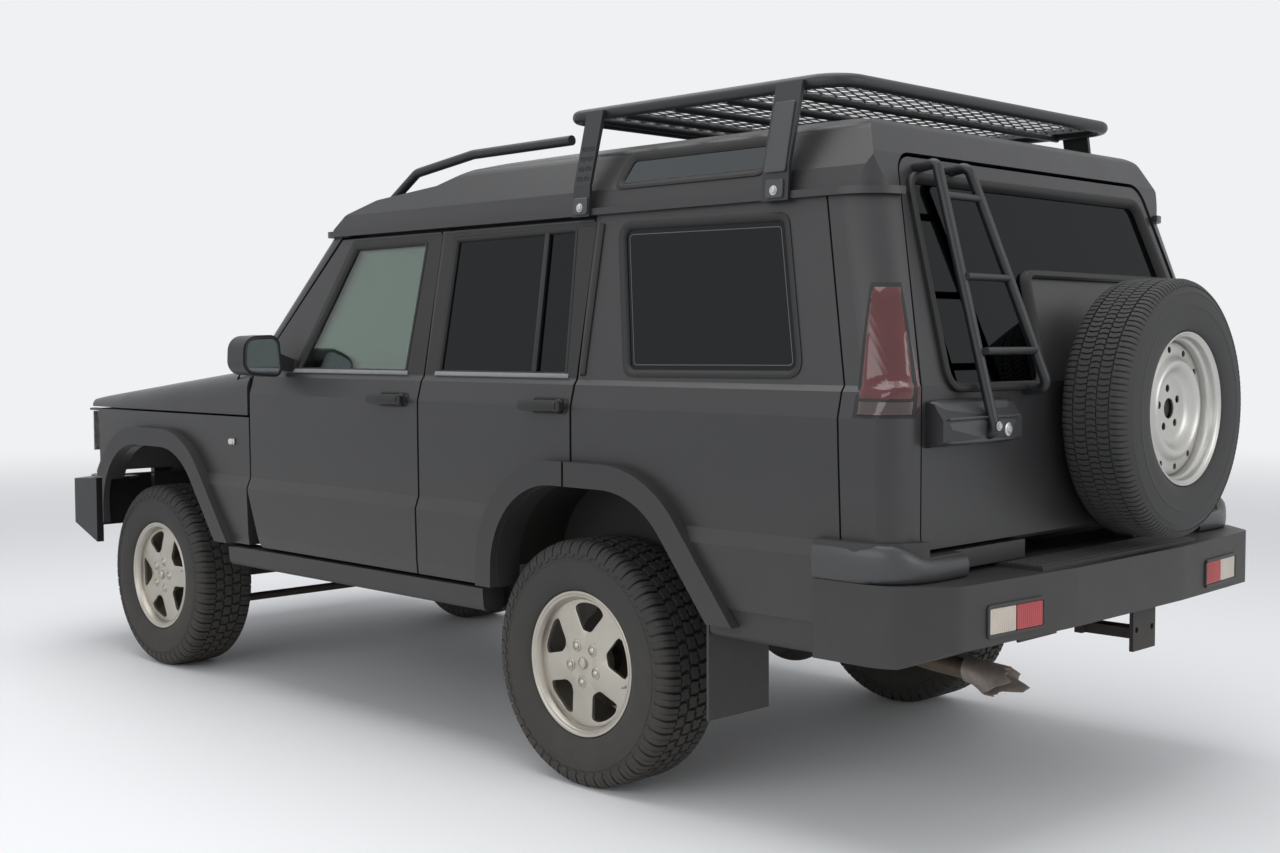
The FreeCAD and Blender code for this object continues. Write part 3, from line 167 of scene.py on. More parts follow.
# %% [markdown]
# ## Studio floor
# A paper floor is curved up behind the object so that no edge shows. Here one flat sheet runs far out, takes the
# car's shadow near by, and fades to the backdrop's colour where the two would meet.

# %% Studio floor
FLOOR_REACH = 150.0  # metres
FADE_FROM, FADE_TO = 5.0, 16.0  # metres from the middle
FLOOR_PAINT = "#EDEEEF"


def start_material(name):
    """An empty material, its tree, and the Object coordinates that its patterns read."""
    material = bpy.data.materials.new(name)
    material.use_nodes = True
    tree = material.node_tree
    tree.nodes.clear()
    return material, tree, add(tree, "ShaderNodeTexCoord").outputs["Object"]


def studio_floor():
    mesh = bpy.data.meshes.new("floor")
    corners = [(x * FLOOR_REACH, y * FLOOR_REACH, 0) for x, y in ((-1, -1), (1, -1), (1, 1), (-1, 1))]
    mesh.from_pydata(corners, [], [(0, 1, 2, 3)])
    material, tree, spot = start_material("studio_floor")
    far = add(tree, "ShaderNodeVectorMath", {0: spot}, operation="LENGTH")
    fade = add(tree, "ShaderNodeMapRange", {"Value": far.outputs["Value"], 1: FADE_FROM, 2: FADE_TO, 3: 0.0, 4: 1.0},
               interpolation_type="SMOOTHSTEP")
    paint = add(tree, "ShaderNodeBsdfPrincipled", {"Base Color": srgb(FLOOR_PAINT), "Roughness": 0.7})
    glow = add(tree, "ShaderNodeEmission", {"Color": srgb(BACKDROP), "Strength": 1.0})
    mixed = add(tree, "ShaderNodeMixShader", {0: fade, 1: paint, 2: glow})
    add(tree, "ShaderNodeOutputMaterial", {"Surface": mixed})
    mesh.materials.append(material)
    put("floor", mesh)


studio_floor()
print("floor fades from", FADE_FROM, "to", FADE_TO, "m")

# %% [markdown]
# ## Studio lamps
# Dark satin panels show their shape only in what they reflect. Three broad lamps, overhead, at the side and behind,
# give them long soft highlights, where small lamps would give hard dots.

# %% Studio lamps
def lamp(name, place, target, size, power):
    light = bpy.data.lights.new(name, "AREA")
    light.shape = "RECTANGLE"
    light.size, light.size_y = size
    light.energy = power
    way = Vector(target) - Vector(place)
    put(name, light).matrix_world = Matrix.Translation(place) @ way.to_track_quat("-Z", "Y").to_matrix().to_4x4()


lamp("overhead", (0.0, 0.5, 5.6), (0.0, 0.0, 0.8), (7.0, 5.0), 210)
lamp("side_soft", (-1.5, 7.0, 3.2), (0.0, 0.0, 0.9), (7.0, 3.0), 120)
lamp("rear_soft", (-7.5, -1.0, 3.2), (-1.5, 0.0, 1.0), (4.0, 3.0), 80)
print("lamps:", len(bpy.data.lights))

# %% [markdown]
# ## The way a surface is made
# Every finish starts from the real material. Paint, plastic and metal differ in colour, gloss and grain, so one
# recipe serves them all: blotches from making and use, a fine grain in relief, and dust that thins out with height.
# It reads Object coordinates, so a grain keeps its true size in millimetres on every piece.

# %% Opaque finishes
GLOSS_SPREAD = (-0.06, 0.08)  # how far the blotches move the roughness
GRAIN_DEPTH = 0.0004  # metres
SPECKS = {"Scale": 14.0, "Detail": 8.0, "Roughness": 0.7}


def finish(name, colour, roughness, metallic=0.0, grain_mm=0.0, grain=0.0, mottle=0.0, mottle_mm=120.0,
           dust=None, **sockets):
    """grain and mottle are strengths, each with its size; dust is (colour, from height, to height, most)."""
    material, tree, spot = start_material(name)
    surface = {"Base Color": srgb(colour), "Roughness": roughness, "Metallic": metallic}
    surface.update({socket.replace("_", " "): value for socket, value in sockets.items()})
    if mottle > 0:
        cloud = add(tree, "ShaderNodeTexNoise", {"Vector": spot, "Scale": 1 / (mottle_mm * MM), "Detail": 5.0})
        dark = [c * (1 - mottle) for c in srgb(colour)[:3]] + [1.0]
        light = [min(1.0, c * (1 + mottle)) for c in srgb(colour)[:3]] + [1.0]
        surface["Base Color"] = add(tree, "ShaderNodeMix", {0: cloud, 6: dark, 7: light}, data_type="RGBA").outputs[2]
        surface["Roughness"] = add(tree, "ShaderNodeMapRange", {"Value": cloud, 3: roughness + GLOSS_SPREAD[0],
                                                                4: roughness + GLOSS_SPREAD[1]})
    if dust:
        tint, low_z, high_z, most = dust
        height = add(tree, "ShaderNodeSeparateXYZ", {0: spot})
        fall = add(tree, "ShaderNodeMapRange", {"Value": height.outputs["Z"], 1: low_z, 2: high_z, 3: most, 4: 0.0})
        specks = add(tree, "ShaderNodeTexNoise", {"Vector": spot, **SPECKS})
        amount = add(tree, "ShaderNodeMath", {0: fall, 1: specks}, operation="MULTIPLY")
        surface["Base Color"] = add(tree, "ShaderNodeMix", {0: amount, 6: surface["Base Color"], 7: srgb(tint)},
                                    data_type="RGBA").outputs[2]
    if grain > 0:
        pebbles = add(tree, "ShaderNodeTexNoise", {"Vector": spot, "Scale": 1 / (grain_mm * MM), "Detail": 2.0})
        surface["Normal"] = add(tree, "ShaderNodeBump", {"Height": pebbles, "Strength": grain,
                                                         "Distance": GRAIN_DEPTH})
    add(tree, "ShaderNodeOutputMaterial", {"Surface": add(tree, "ShaderNodeBsdfPrincipled", surface)})
    return material


ROAD_DUST, MUD = "#7B7265", "#5C5044"
finishes = {
    # satin anthracite paint, sprayed: soft wide highlights and a film of dust along the sills
    "paint": finish("satin_anthracite_paint", "#2B2B2C", 0.38, grain_mm=3.0, grain=0.03, mottle=0.05,
                    dust=(ROAD_DUST, 0.45, 1.0, 0.12)),
    # polypropylene, moulded: matt, greyed by the sun, with a leathery grain
    "moulding": finish("moulded_polypropylene", "#262627", 0.52, grain_mm=2.0, grain=0.25, mottle=0.10,
                       dust=(ROAD_DUST, 0.35, 0.95, 0.16)),
    # the same plastic, rubbed smooth where hands and loads pass: a shade paler and glossier
    "bolster": finish("polished_moulding", "#3A3B3D", 0.36, grain_mm=2.0, grain=0.12, mottle=0.08),
    # filled nylon, moulded: an even black with a weak sheen
    "black_plastic": finish("black_nylon", "#1E1E20", 0.45, grain_mm=1.5, grain=0.15, mottle=0.08),
    # satin black lacquer on the window frames: nearly as dark as the glass beside it
    "frame_black": finish("satin_black_frame", "#0D0D0E", 0.5, grain_mm=1.5, grain=0.08, mottle=0.06),
    # a rubber-edged strip at the window's foot: its pale grey is a painted highlight, the light that the waist
    # catches, uneven in tone
    "waist_strip": finish("weathered_waist_strip", "#7D7F80", 0.5, grain_mm=2.0, grain=0.2, mottle=0.2,
                          mottle_mm=30.0),
    # sponge rubber, extruded: takes nearly all the light
    "seal": finish("sponge_rubber_seal", "#0E0E0F", 0.6, grain_mm=2.0, grain=0.1),
    # powder coat, baked: a fine orange peel that spreads each highlight
    "powder_coat": finish("black_powder_coat", "#1C1D1F", 0.42, grain_mm=1.2, grain=0.15, mottle=0.06),
    # chassis enamel, brushed on: dull black under dried mud that thins out upwards
    "chassis": finish("chassis_enamel", "#1B1A19", 0.6, grain_mm=4.0, grain=0.3, mottle=0.2,
                      dust=(MUD, 0.1, 0.9, 0.5)),
}
print("body finishes:", len(finishes))

# %% [markdown]
# ## Metals and rubber
# A cast part keeps the grain of its sand, a pressed and painted one is even, and a plated one mirrors. Tyre rubber
# is never black: it scatters light from its fine dust, and most of all near the road.

# %% Metals and rubber
finishes.update({
    # iron, sand cast: rough and browned by rust
    "iron": finish("cast_iron", "#3A3530", 0.7, metallic=0.5, grain_mm=2.5, grain=0.5, mottle=0.25),
    # aluminium, cast: a dull even grey
    "engine": finish("cast_aluminium", "#5B5B5A", 0.6, metallic=0.7, grain_mm=2.5, grain=0.4, mottle=0.15),
    # steel tube after years of heat: brown blotches
    "exhaust": finish("weathered_steel", "#5A4E44", 0.6, metallic=0.6, grain_mm=6.0, grain=0.4, mottle=0.35,
                      mottle_mm=30.0),
    # the tube's torn end: the same steel, paler where it was ripped
    "torn_steel": finish("torn_aluminised_steel", "#8A8078", 0.5, metallic=0.6, grain_mm=5.0, grain=0.5,
                         mottle=0.35, mottle_mm=18.0),
    # cast alloy under clear lacquer: a warm silver with soft reflections
    "alloy": finish("lacquered_alloy", "#B4AFA5", 0.34, metallic=0.8, grain_mm=2.0, grain=0.1, mottle=0.12,
                    mottle_mm=60.0),
    # pressed steel in silver paint: cooler and more even than the casting
    "steel_wheel": finish("silver_painted_steel", "#BDBCB8", 0.36, metallic=0.75, mottle=0.08),
    # sheet steel, slit, stretched and galvanised: a grey that catches light strand by strand
    "mesh_steel": finish("galvanised_mesh", "#4A4B4C", 0.45, metallic=0.4, mottle=0.15, mottle_mm=40.0),
    # zinc plate on bolts: bright, with the spangle of its crystals
    "zinc": finish("zinc_plated_steel", "#B9BBBD", 0.32, metallic=0.9, mottle=0.15, mottle_mm=12.0),
    # aluminium vapour inside a lamp's bowl: almost a mirror
    "chrome": finish("aluminised_reflector", "#D9DADB", 0.12, metallic=1.0, mottle=0.04),
    # silvered glass: a clean mirror, a little blue
    "mirror_glass": finish("silvered_mirror", "#AEB4B8", 0.04, metallic=0.95, mottle=0.03),
    # tyre rubber, moulded: matt, browner with dust towards the road
    "rubber": finish("tyre_rubber", "#2B2B2B", 0.8, grain_mm=2.0, grain=0.2, mottle=0.15,
                     dust=("#6A6257", 0.0, 0.9, 0.35)),
    # a spare that has hung in the sun: a greyer, cleaner rubber
    "rubber_spare": finish("aged_tyre_rubber", "#353535", 0.75, grain_mm=2.0, grain=0.15, mottle=0.12),
})
print("with metals and rubber:", len(finishes))

# %% [markdown]
# ## Cabin finishes and printed glass
# Inside, plastics are grained so that they don't shine in the driver's eyes, and the cloth swallows light between
# its threads. A weave is too fine to show at this distance, so its relief is drawn 2 mm coarse.

# %% Cabin finishes and printed glass
finishes.update({
    # ABS, moulded with a leather grain: mid grey, hardly any shine
    "cabin_plastic": finish("grained_cabin_plastic", "#4A4B4A", 0.6, grain_mm=1.5, grain=0.3, mottle=0.05),
    # soft foamed skin on the wheel and the hood: darker and a little softer in its highlight
    "cabin_dark": finish("soft_black_plastic", "#232325", 0.55, grain_mm=1.2, grain=0.3, mottle=0.06),
    # polyester seat cloth, woven: dark and without gloss
    "cloth": finish("woven_seat_cloth", "#2E2E30", 0.9, grain_mm=2.0, grain=0.6, mottle=0.1),
    # ceramic ink, fired on the glass: a smooth grey line
    "ceramic_band": finish("ceramic_band", "#4C4F50", 0.3, mottle=0.1),
    # polycarbonate, moulded clear: bends what stands behind it
    "clear_lens": finish("polycarbonate_lens", "#EDEDE8", 0.05, Transmission_Weight=0.9, IOR=1.58),
    # acrylic, dyed red and smoked
    "red_lens": finish("smoked_red_lens", "#5A2024", 0.12, Transmission_Weight=0.4, IOR=1.49),
})
print("with the cabin:", len(finishes))

# %% [markdown]
# ## Window glass
# A pane is so thin that light goes straight through it, only tinted, while its face mirrors more at a slant. A
# solid glass shader would need both faces of the pane and bend the view, so a transparent and a glossy shader are
# mixed by the slant. Rolled glass is never quite flat, and a slow wave in its relief gives reflections their wobble.

# %% Window glass
WAVE = {"Strength": 0.25, "Distance": 0.004}
SLANT_BLEND, SLANT_MOST = 0.28, 0.9  # where the mirror sets in, and how strong it gets
FACE_ON_SHARE = 0.55  # the part of the mirror that is left when seen face on


def pane_glass(name, tint, mirror, sheen):
    material, tree, spot = start_material(name)
    waves = add(tree, "ShaderNodeTexNoise", {"Vector": spot, "Scale": 2.2, "Detail": 1.0})
    bend = add(tree, "ShaderNodeBump", {"Height": waves, **WAVE})
    through = add(tree, "ShaderNodeBsdfTransparent", {"Color": srgb(tint)})
    shine = add(tree, "ShaderNodeBsdfGlossy", {"Color": srgb(sheen), "Roughness": 0.03, "Normal": bend})
    slant = add(tree, "ShaderNodeLayerWeight", {"Blend": SLANT_BLEND, "Normal": bend})
    amount = add(tree, "ShaderNodeMapRange", {"Value": slant.outputs["Fresnel"], 3: mirror * FACE_ON_SHARE,
                                              4: SLANT_MOST})
    mixed = add(tree, "ShaderNodeMixShader", {0: amount, 1: through, 2: shine})
    add(tree, "ShaderNodeOutputMaterial", {"Surface": mixed})
    return material


finishes.update({
    # float glass, tempered: clear with a green cast
    "clear_glass": pane_glass("green_tinted_glass", "#D8E6DE", 0.14, "#F2F6F4"),
    # privacy glass, dyed in the melt: a dark mirror with a dim cabin behind it
    "dark_glass": pane_glass("privacy_glass", "#34383A", 0.24, "#74787A"),
})
print("panes:", finishes["clear_glass"].name, finishes["dark_glass"].name)

# %% [markdown]
# ## Lamp lenses
# A lens is acrylic with fine upright flutes on its inside, which spread the bulb's light. They would be hundreds
# of faces that never show singly, so a wave in the relief draws them. A soft noise paints light into the colour:
# paler blotches where the bowl behind the lens would shine through.

# %% Lamp lenses
FLUTES = {"Scale": 40.0, "Distortion": 0.2}
FLUTE_RELIEF = {"Strength": 0.25, "Distance": 0.0006}
LENS_GLOSS = {"Roughness": 0.12, "Coat Weight": 0.45, "Coat Roughness": 0.08}


def lamp_lens(name, deep, lit, share=0.9):
    """share is how far the paler colour, painted light from the bowl behind, comes through where the noise is
    highest.
    """
    material, tree, spot = start_material(name)
    flutes = add(tree, "ShaderNodeTexWave", {"Vector": spot, **FLUTES}, bands_direction="Y")
    # painted light: soft noise blotches of the paler colour, as if the bowl behind the lens shone through
    glow = add(tree, "ShaderNodeTexNoise", {"Vector": spot, "Scale": 6.0, "Detail": 2.0})
    amount = add(tree, "ShaderNodeMath", {0: glow, 1: share}, operation="MULTIPLY")
    tint = add(tree, "ShaderNodeMix", {0: amount, 6: srgb(deep), 7: srgb(lit)}, data_type="RGBA")
    relief = add(tree, "ShaderNodeBump", {"Height": flutes, **FLUTE_RELIEF})
    shader = add(tree, "ShaderNodeBsdfPrincipled", {"Base Color": tint.outputs[2], "Normal": relief,
                                                    **LENS_GLOSS})
    add(tree, "ShaderNodeOutputMaterial", {"Surface": shader})
    return material


finishes.update({  # acrylic, moulded: the deep colour is the dye, the paler one is painted light from the bowl behind, under a polished face
    "red_lamp": lamp_lens("red_lamp_lens", "#2A090B", "#6A1A1E"),
    "fog_lamp": lamp_lens("fog_lamp_lens", "#8E2226", "#C8383C"),
    "smoked_lamp": lamp_lens("smoked_lamp_lens", "#2A1C1C", "#5E4A48", 0.5),
    "white_lamp": lamp_lens("reversing_lamp_lens", "#A89C8E", "#D8D0C4"),
})
print("finishes:", len(finishes))

# %% [markdown]
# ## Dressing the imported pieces
# Most pieces of the frame only need their finish. A table says which finish goes on which piece, so a change of
# paint is one line. The panes that don't open are one piece, and its windscreen is clear while the rest is dark,
# so that piece carries two finishes and each face picks one by its place.

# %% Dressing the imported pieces
SCREEN_FROM = 1.2  # metres ahead of the rear axle
dressed = {
    "paint": ["pillar_frame", "rear_side_panels", "roof_panel", "front_end_panels", "bonnet", "tailgate"]
    + ["door_" + corner for corner in CORNERS],
    "moulding": ["rear_bumper", "lower_trims", "arch_flares", "door_rear_left_fittings", "door_rear_right_fittings",
                 "arch_liners"],
    "black_plastic": ["front_bumper", "grille", "tailgate_fittings", "door_front_left_fittings",
                      "door_front_right_fittings"],
    "powder_coat": ["roof_rails", "roof_rack", "roof_rack_mesh", "tailgate_ladder"],
    "chassis": ["chassis_rails", "chassis_crossmembers", "axles", "suspension", "fuel_tank", "tow_bracket",
                "floor_pan", "track_rod"],
    "iron": ["knuckle_left", "knuckle_right"],
    "engine": ["engine_block", "driveline"],
    "exhaust": ["exhaust"],
    "rubber": ["tyre_" + corner for corner in CORNERS] + ["spare_tyre"],
    "alloy": ["rim_" + corner for corner in CORNERS],
    "steel_wheel": ["spare_rim"],
    "cabin_plastic": ["dashboard", "steering_wheel"],
    "cloth": ["front_seats", "rear_seat"],
    "clear_glass": ["door_front_left_glass", "door_front_right_glass"],
    "dark_glass": ["door_rear_left_glass", "door_rear_right_glass", "tailgate_glass", "fixed_glass"],
    "clear_lens": ["front_lamps"],
    "red_lens": ["rear_lamps"],
}
for key, names in dressed.items():
    for name in names:
        mesh = nodes[name].data
        mesh.materials.clear()
        mesh.materials.append(finishes[key])
screens = nodes["fixed_glass"]
screens.data.materials.append(finishes["clear_glass"])
for face in screens.data.polygons:
    face.material_index = 1 if (screens.matrix_world @ face.center).x > AXLE_X + SCREEN_FROM else 0
print("pieces dressed:", sum(len(names) for names in dressed.values()), "of", len(nodes))

# %% [markdown]
# ## Placing and finishing a piece
# Every new piece goes through the same few steps: its mesh gets its place, its faces are turned outwards, sharp
# edges stay sharp, and the piece is told which body carries it. Written once, these steps can't be forgotten.

# %% Placing and finishing a piece
WELD = 1e-6  # metres within which two points are one


def at(x, y, z):
    """A point in millimetres, counted from the rear axle's place on the ground, as a point of the frame."""
    return Vector((AXLE_X + x * MM, y * MM, z * MM))


def smoothed(mesh, sharp_angle):
    mesh.shade_smooth()
    mesh.set_sharp_from_angle(angle=math.radians(sharp_angle))
    return mesh


def settle(mesh, sharp_angle=35):
    """Merge doubles, point every face outwards, and shade smoothly but for the sharp edges."""
    work = bmesh.new()
    work.from_mesh(mesh)
    bmesh.ops.remove_doubles(work, verts=work.verts, dist=WELD)
    bmesh.ops.recalc_face_normals(work, faces=work.faces)
    work.to_mesh(mesh)
    work.free()
    return smoothed(mesh, sharp_angle)


def new_mesh(name, points, faces, sharp_angle=35):
    mesh = bpy.data.meshes.new(name)
    mesh.from_pydata([tuple(p) for p in points], [], faces)
    return settle(mesh, sharp_angle)


def joined(name, meshes, sharp_angle=35):
    """Several meshes as one, the faces of each left as they are."""
    work = bmesh.new()
    for mesh in meshes:
        work.from_mesh(mesh)
    whole = bpy.data.meshes.new(name)
    work.to_mesh(whole)
    work.free()
    return smoothed(whole, sharp_angle)


def placed(mesh, matrix):
    copy = mesh.copy()
    copy.transform(matrix)
    return copy


def piece(name, mesh, key, body, slot, replaces=()):
    """A finished piece: its mesh in place, its finish on it, and the body it rides on."""
    thing = put(name, mesh)
    mesh.materials.clear()
    mesh.materials.append(finishes[key])
    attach(thing, body)
    if replaces:
        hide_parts(*replaces)
    return thing


def made(word):
    """How many objects have this word in their names."""
    return sum(word in thing.name for thing in scene.objects)


def evaluated(thing):
    """What an object's modifiers make of it, as a plain mesh."""
    return bpy.data.meshes.new_from_object(thing.evaluated_get(bpy.context.evaluated_depsgraph_get()))


def shaped(mesh, *steps):
    """The mesh after a few modifiers, each a (kind, settings) pair, as a plain mesh again."""
    thing = put("work", mesh)
    for kind, settings in steps:
        modifier = thing.modifiers.new(kind.lower(), kind)
        for name, value in settings.items():
            setattr(modifier, name, value)
    done = evaluated(thing)
    bpy.data.objects.remove(thing)
    return done


print("the rear axle's own point:", [round(c, 3) for c in at(0, 0, AXLE_Z / MM)])

# %% [markdown]
# ## Rings of points
# Most shapes here are one cross-section carried along: round an axle for a tyre, along a path for a rod, round an
# outline for a seal. Each is a row of rings with the same number of points, so one function joins them all. A curve
# with a bevel could do it too, but it can't change its section on the way.

# %% Rings, lathe, rod and outline
def loops(name, rings, sharp_angle=40, ends="capped"):
    """Rings joined one to the next. The end rings are capped, or joined to each other, or left open."""
    count, total = len(rings[0]), len(rings)
    faces = []
    for i in range(total if ends == "joined" else total - 1):
        n = (i + 1) % total
        for j in range(count):
            k = (j + 1) % count
            faces.append((i * count + j, i * count + k, n * count + k, n * count + j))
    if ends == "capped":
        faces += [tuple(reversed(range(count))), tuple(range((total - 1) * count, total * count))]
    return new_mesh(name, [p for ring in rings for p in ring], faces, sharp_angle)


def lathe(name, profile, segments=96, sharp_angle=35):
    """Turn a closed profile of (radius, y) millimetres round the y axis."""
    turns = [2 * math.pi * i / segments for i in range(segments)]
    rings = [[(radius * math.sin(turn) * MM, y * MM, radius * math.cos(turn) * MM) for radius, y in profile]
             for turn in turns]
    return loops(name, rings, sharp_angle, "joined")


def rod(name, path, radius, sides=12, up=(0, 1, 0)):
    """A round rod through the points of a path. up is any direction that the path never takes."""
    lift, rings = Vector(up).normalized(), []
    turns = [2 * math.pi * i / sides for i in range(sides)]
    for i, place in enumerate(path):
        along = (path[min(i + 1, len(path) - 1)] - path[max(i - 1, 0)]).normalized()
        across = along.cross(lift).normalized()
        stand = across.cross(along).normalized()
        rings.append([place + across * (radius * math.cos(t)) + stand * (radius * math.sin(t)) for t in turns])
    return loops(name, rings, 50)


def rounded(corners, steps):
    """A closed line of (u, v) through (u, v, radius) corners, each corner an arc."""
    line = []
    for i, (u, v, radius) in enumerate(corners):
        here = Vector((u, v))
        before = (Vector(corners[i - 1][:2]) - here).normalized()
        after = (Vector(corners[(i + 1) % len(corners)][:2]) - here).normalized()
        reach = radius / math.tan(before.angle(after) / 2)
        start, end = here + before * reach, here + after * reach
        for k in range(steps + 1):
            t = k / steps
            line.append(start * (1 - t) ** 2 + here * 2 * t * (1 - t) + end * t ** 2)
    return line


def oblong(u0, u1, v0, v1, radius):
    """The four corners of a rectangle, as an outline."""
    return [(u0, v0, radius), (u1, v0, radius), (u1, v1, radius), (u0, v1, radius)]


print("a square with corners in arcs of 6 steps has", len(rounded(oblong(0, 9, 0, 9, 1), 6)), "points")

# %% [markdown]
# ## Blocks round an axle
# Tread, nuts and holes repeat at an even pitch round an axle. Copying them in a loop works, but the count and the
# first turn are then buried in code. A Geometry Nodes tree has them as named inputs, instances the block on that
# many points, turns each by its index, and makes the instances real with one finish.

# %% Blocks round an axle
def tree_with(name, **inputs):
    """An empty Geometry Nodes tree with named inputs, and what it is given."""
    tree = bpy.data.node_groups.new(name, "GeometryNodeTree")
    for label, kind in inputs.items():
        tree.interface.new_socket(label.replace("_", " "), in_out="INPUT", socket_type="NodeSocket" + kind)
    tree.interface.new_socket("Geometry", in_out="OUTPUT", socket_type="NodeSocketGeometry")
    return tree, add(tree, "NodeGroupInput").outputs


def blocks_on(tree, given, points, rotation):
    """The end of each tree: the block on every point, made real, in its finish."""
    block = add(tree, "GeometryNodeObjectInfo", {"Object": given["Block"]})
    blocks = add(tree, "GeometryNodeInstanceOnPoints", {"Points": points, "Instance": block.outputs["Geometry"],
                                                        "Rotation": rotation})
    real = add(tree, "GeometryNodeRealizeInstances", {"Geometry": blocks})
    coated = add(tree, "GeometryNodeSetMaterial", {"Geometry": real, "Material": given["Finish"]})
    add(tree, "NodeGroupOutput", {"Geometry": coated})
    return tree


def ring_tree():
    tree, given = tree_with("blocks_round_an_axle", Block="Object", Count="Int", First_turn="Float",
                            Finish="Material")
    line = add(tree, "GeometryNodeMeshLine", {"Count": given["Count"], "Offset": (0, 0, 0)})
    step = add(tree, "ShaderNodeMath", {0: 2 * math.pi, 1: given["Count"]}, operation="DIVIDE")
    index = add(tree, "GeometryNodeInputIndex")
    turn = add(tree, "ShaderNodeMath", {0: index, 1: step, 2: given["First turn"]},
               operation="MULTIPLY_ADD")
    spin = add(tree, "ShaderNodeCombineXYZ", {"Y": turn})
    return blocks_on(tree, given, line, spin)


def grown(name, tree, block, **inputs):
    """Run a tree on a block and keep the result as a plain mesh. The block itself is taken away again."""
    holder, thing = put(name + "_block", block), put(name, bpy.data.meshes.new(name))
    inputs["block"] = holder
    modifier = thing.modifiers.new("nodes", "NODES")
    modifier.node_group = tree
    for item in tree.interface.items_tree:
        key = item.name.lower().replace(" ", "_")
        if item.item_type == "SOCKET" and item.in_out == "INPUT" and key in inputs:
            modifier[item.identifier] = inputs[key]
    mesh = evaluated(thing)
    for each in (holder, thing):
        bpy.data.objects.remove(each)
    return mesh


block_ring = ring_tree()


def ring_of(name, block, count, turn=0.0, key="rubber"):
    return grown(name, block_ring, block, count=count, first_turn=turn, finish=finishes[key])


print("inputs:", [item.name for item in block_ring.interface.items_tree])

# %% [markdown]
# ## Tread blocks
# A tread block is cut straight down, with its upper edge a little broken so that it rolls off the road softly. It
# is an outline carried from the groove's floor to the tread, drawn in at the top. The lugs and bars of one side
# come again on the other, half a turn round and a part of the pitch further on.

# %% Tread blocks
HALF_TURN = Matrix.Rotation(math.pi, 4, "Z")
TAILWARDS, NOSEWARDS = Matrix.Rotation(math.pi / 2, 4, "Z"), Matrix.Rotation(-math.pi / 2, 4, "Z")


def prism_block(outline, low, high, bevel=1.2):
    """A tread block: an outline of (along, y) millimetres between two radii, its top edge bevelled."""
    middle = sum((Vector(p) for p in outline), Vector((0, 0))) / len(outline)
    foot = [Vector((u, v, low)) * MM for u, v in outline]
    edge = [Vector((u, v, high - bevel)) * MM for u, v in outline]
    top = []
    for u, v in outline:
        inward = (middle - Vector((u, v))).normalized() * bevel
        top.append(Vector((u + inward.x, v + inward.y, high)) * MM)
    return loops("tread_block", [foot, edge, top], 20)


def on_both_sides(block, pitches, out, back):
    """Rings of a block on the two sides of a tyre. out and back are their first turns, in pitches."""
    step = 2 * math.pi / pitches
    return [ring_of("outer_ring", block, pitches, step * out),
            ring_of("inner_ring", placed(block, HALF_TURN), pitches, step * back)]


def mirrored_profile(half):
    return half + [(radius, -y) for radius, y in reversed(half)]


print("a tread block has", len(prism_block([(0, 0), (9, 0), (9, 9), (0, 9)], 0, 9).polygons), "faces")

# %% [markdown]
# ## Road tyres
# An all-terrain tyre has a smooth sidewall, a band of raised lugs on its shoulder and blocks across the tread. The
# carcass is turned on the lathe. Each kind of block is made once and repeated by Geometry Nodes, because the
# mould cuts the same pitch of the pattern over and over.

# %% Road tyres
ROAD_RADIUS = 367.5
TREAD_DEPTH = 11.0
TREAD_SUNK = 2.0  # how deep a block's foot stands in the carcass
ROAD_PITCHES = 54
BLOCK_SHARE = 0.80  # of a pitch; the rest is groove
SIDEWALL = [(204, 95), (216.6, 97.9), (218.5, 104), (222, 109), (230, 114), (244, 118.5), (262, 121.3), (280, 122),
            (296, 121.3), (306, 119.8), (308, 121.2), (311, 121.0), (313, 118.8), (326, 116.2), (338, 112.5),
            (347, 106), (353, 98)]
# the lug runs over the shoulder as (y, radius); its edges along the tread as (share of its width, how proud)
LUG_SECTION = [(58, ROAD_RADIUS - TREAD_DEPTH - TREAD_SUNK), (58, 366.6), (84, 367.0), (97, 364.0), (107, 356.0),
               (114.5, 343), (118.2, 328), (116.5, 326), (110, 338), (92, ROAD_RADIUS - TREAD_DEPTH - 4)]
LUG_EDGES = ((-0.5, 0.0), (-0.47, 1.0), (-0.06, 1.0), (-0.03, -2.2), (0.03, -2.2), (0.06, 1.0), (0.47, 1.0),
             (0.5, 0.0))
LUG_FACE = range(1, 7)  # the points of the section that the edges and the cut move
LUG_SKEW, LUG_DRAFT = 0.10, 0.3
SECOND_ROW = [(-0.5, 22), (-0.1, 19), (0.06, 26), (0.42, 24), (0.5, 38), (0.34, 53), (-0.1, 50), (-0.2, 54),
              (-0.56, 51), (-0.4, 36)]
MIDDLE_ROW = [(-0.52, -14), (-0.1, -16), (0.1, -12), (0.46, -14), (0.52, 13), (0.12, 16), (-0.06, 12), (-0.5, 14)]
SIDE_BAR = [[(-11, 118.6, 317), (9, 118.6, 317), (11, 116.6, 326), (3, 116.2, 328), (5, 113.5, 337),
             (-13, 113.5, 337)],
            [(-10, 121.2, 318), (8, 121.2, 318), (10, 119.2, 325), (1.5, 118.8, 327), (3.5, 116.0, 336),
             (-12, 116.0, 336)]]


def shoulder_lug(wide):
    rings = []
    for share, proud in LUG_EDGES:
        ring = []
        for j, (y, radius) in enumerate(LUG_SECTION):
            shift = proud - 1.0 if j in LUG_FACE else 0.0
            ring.append(Vector((share * wide + LUG_SKEW * (y - LUG_SECTION[0][0]), y - LUG_DRAFT * min(0, shift),
                                radius + shift)) * MM)
        rings.append(ring)
    return loops("shoulder_lug", rings, 25)


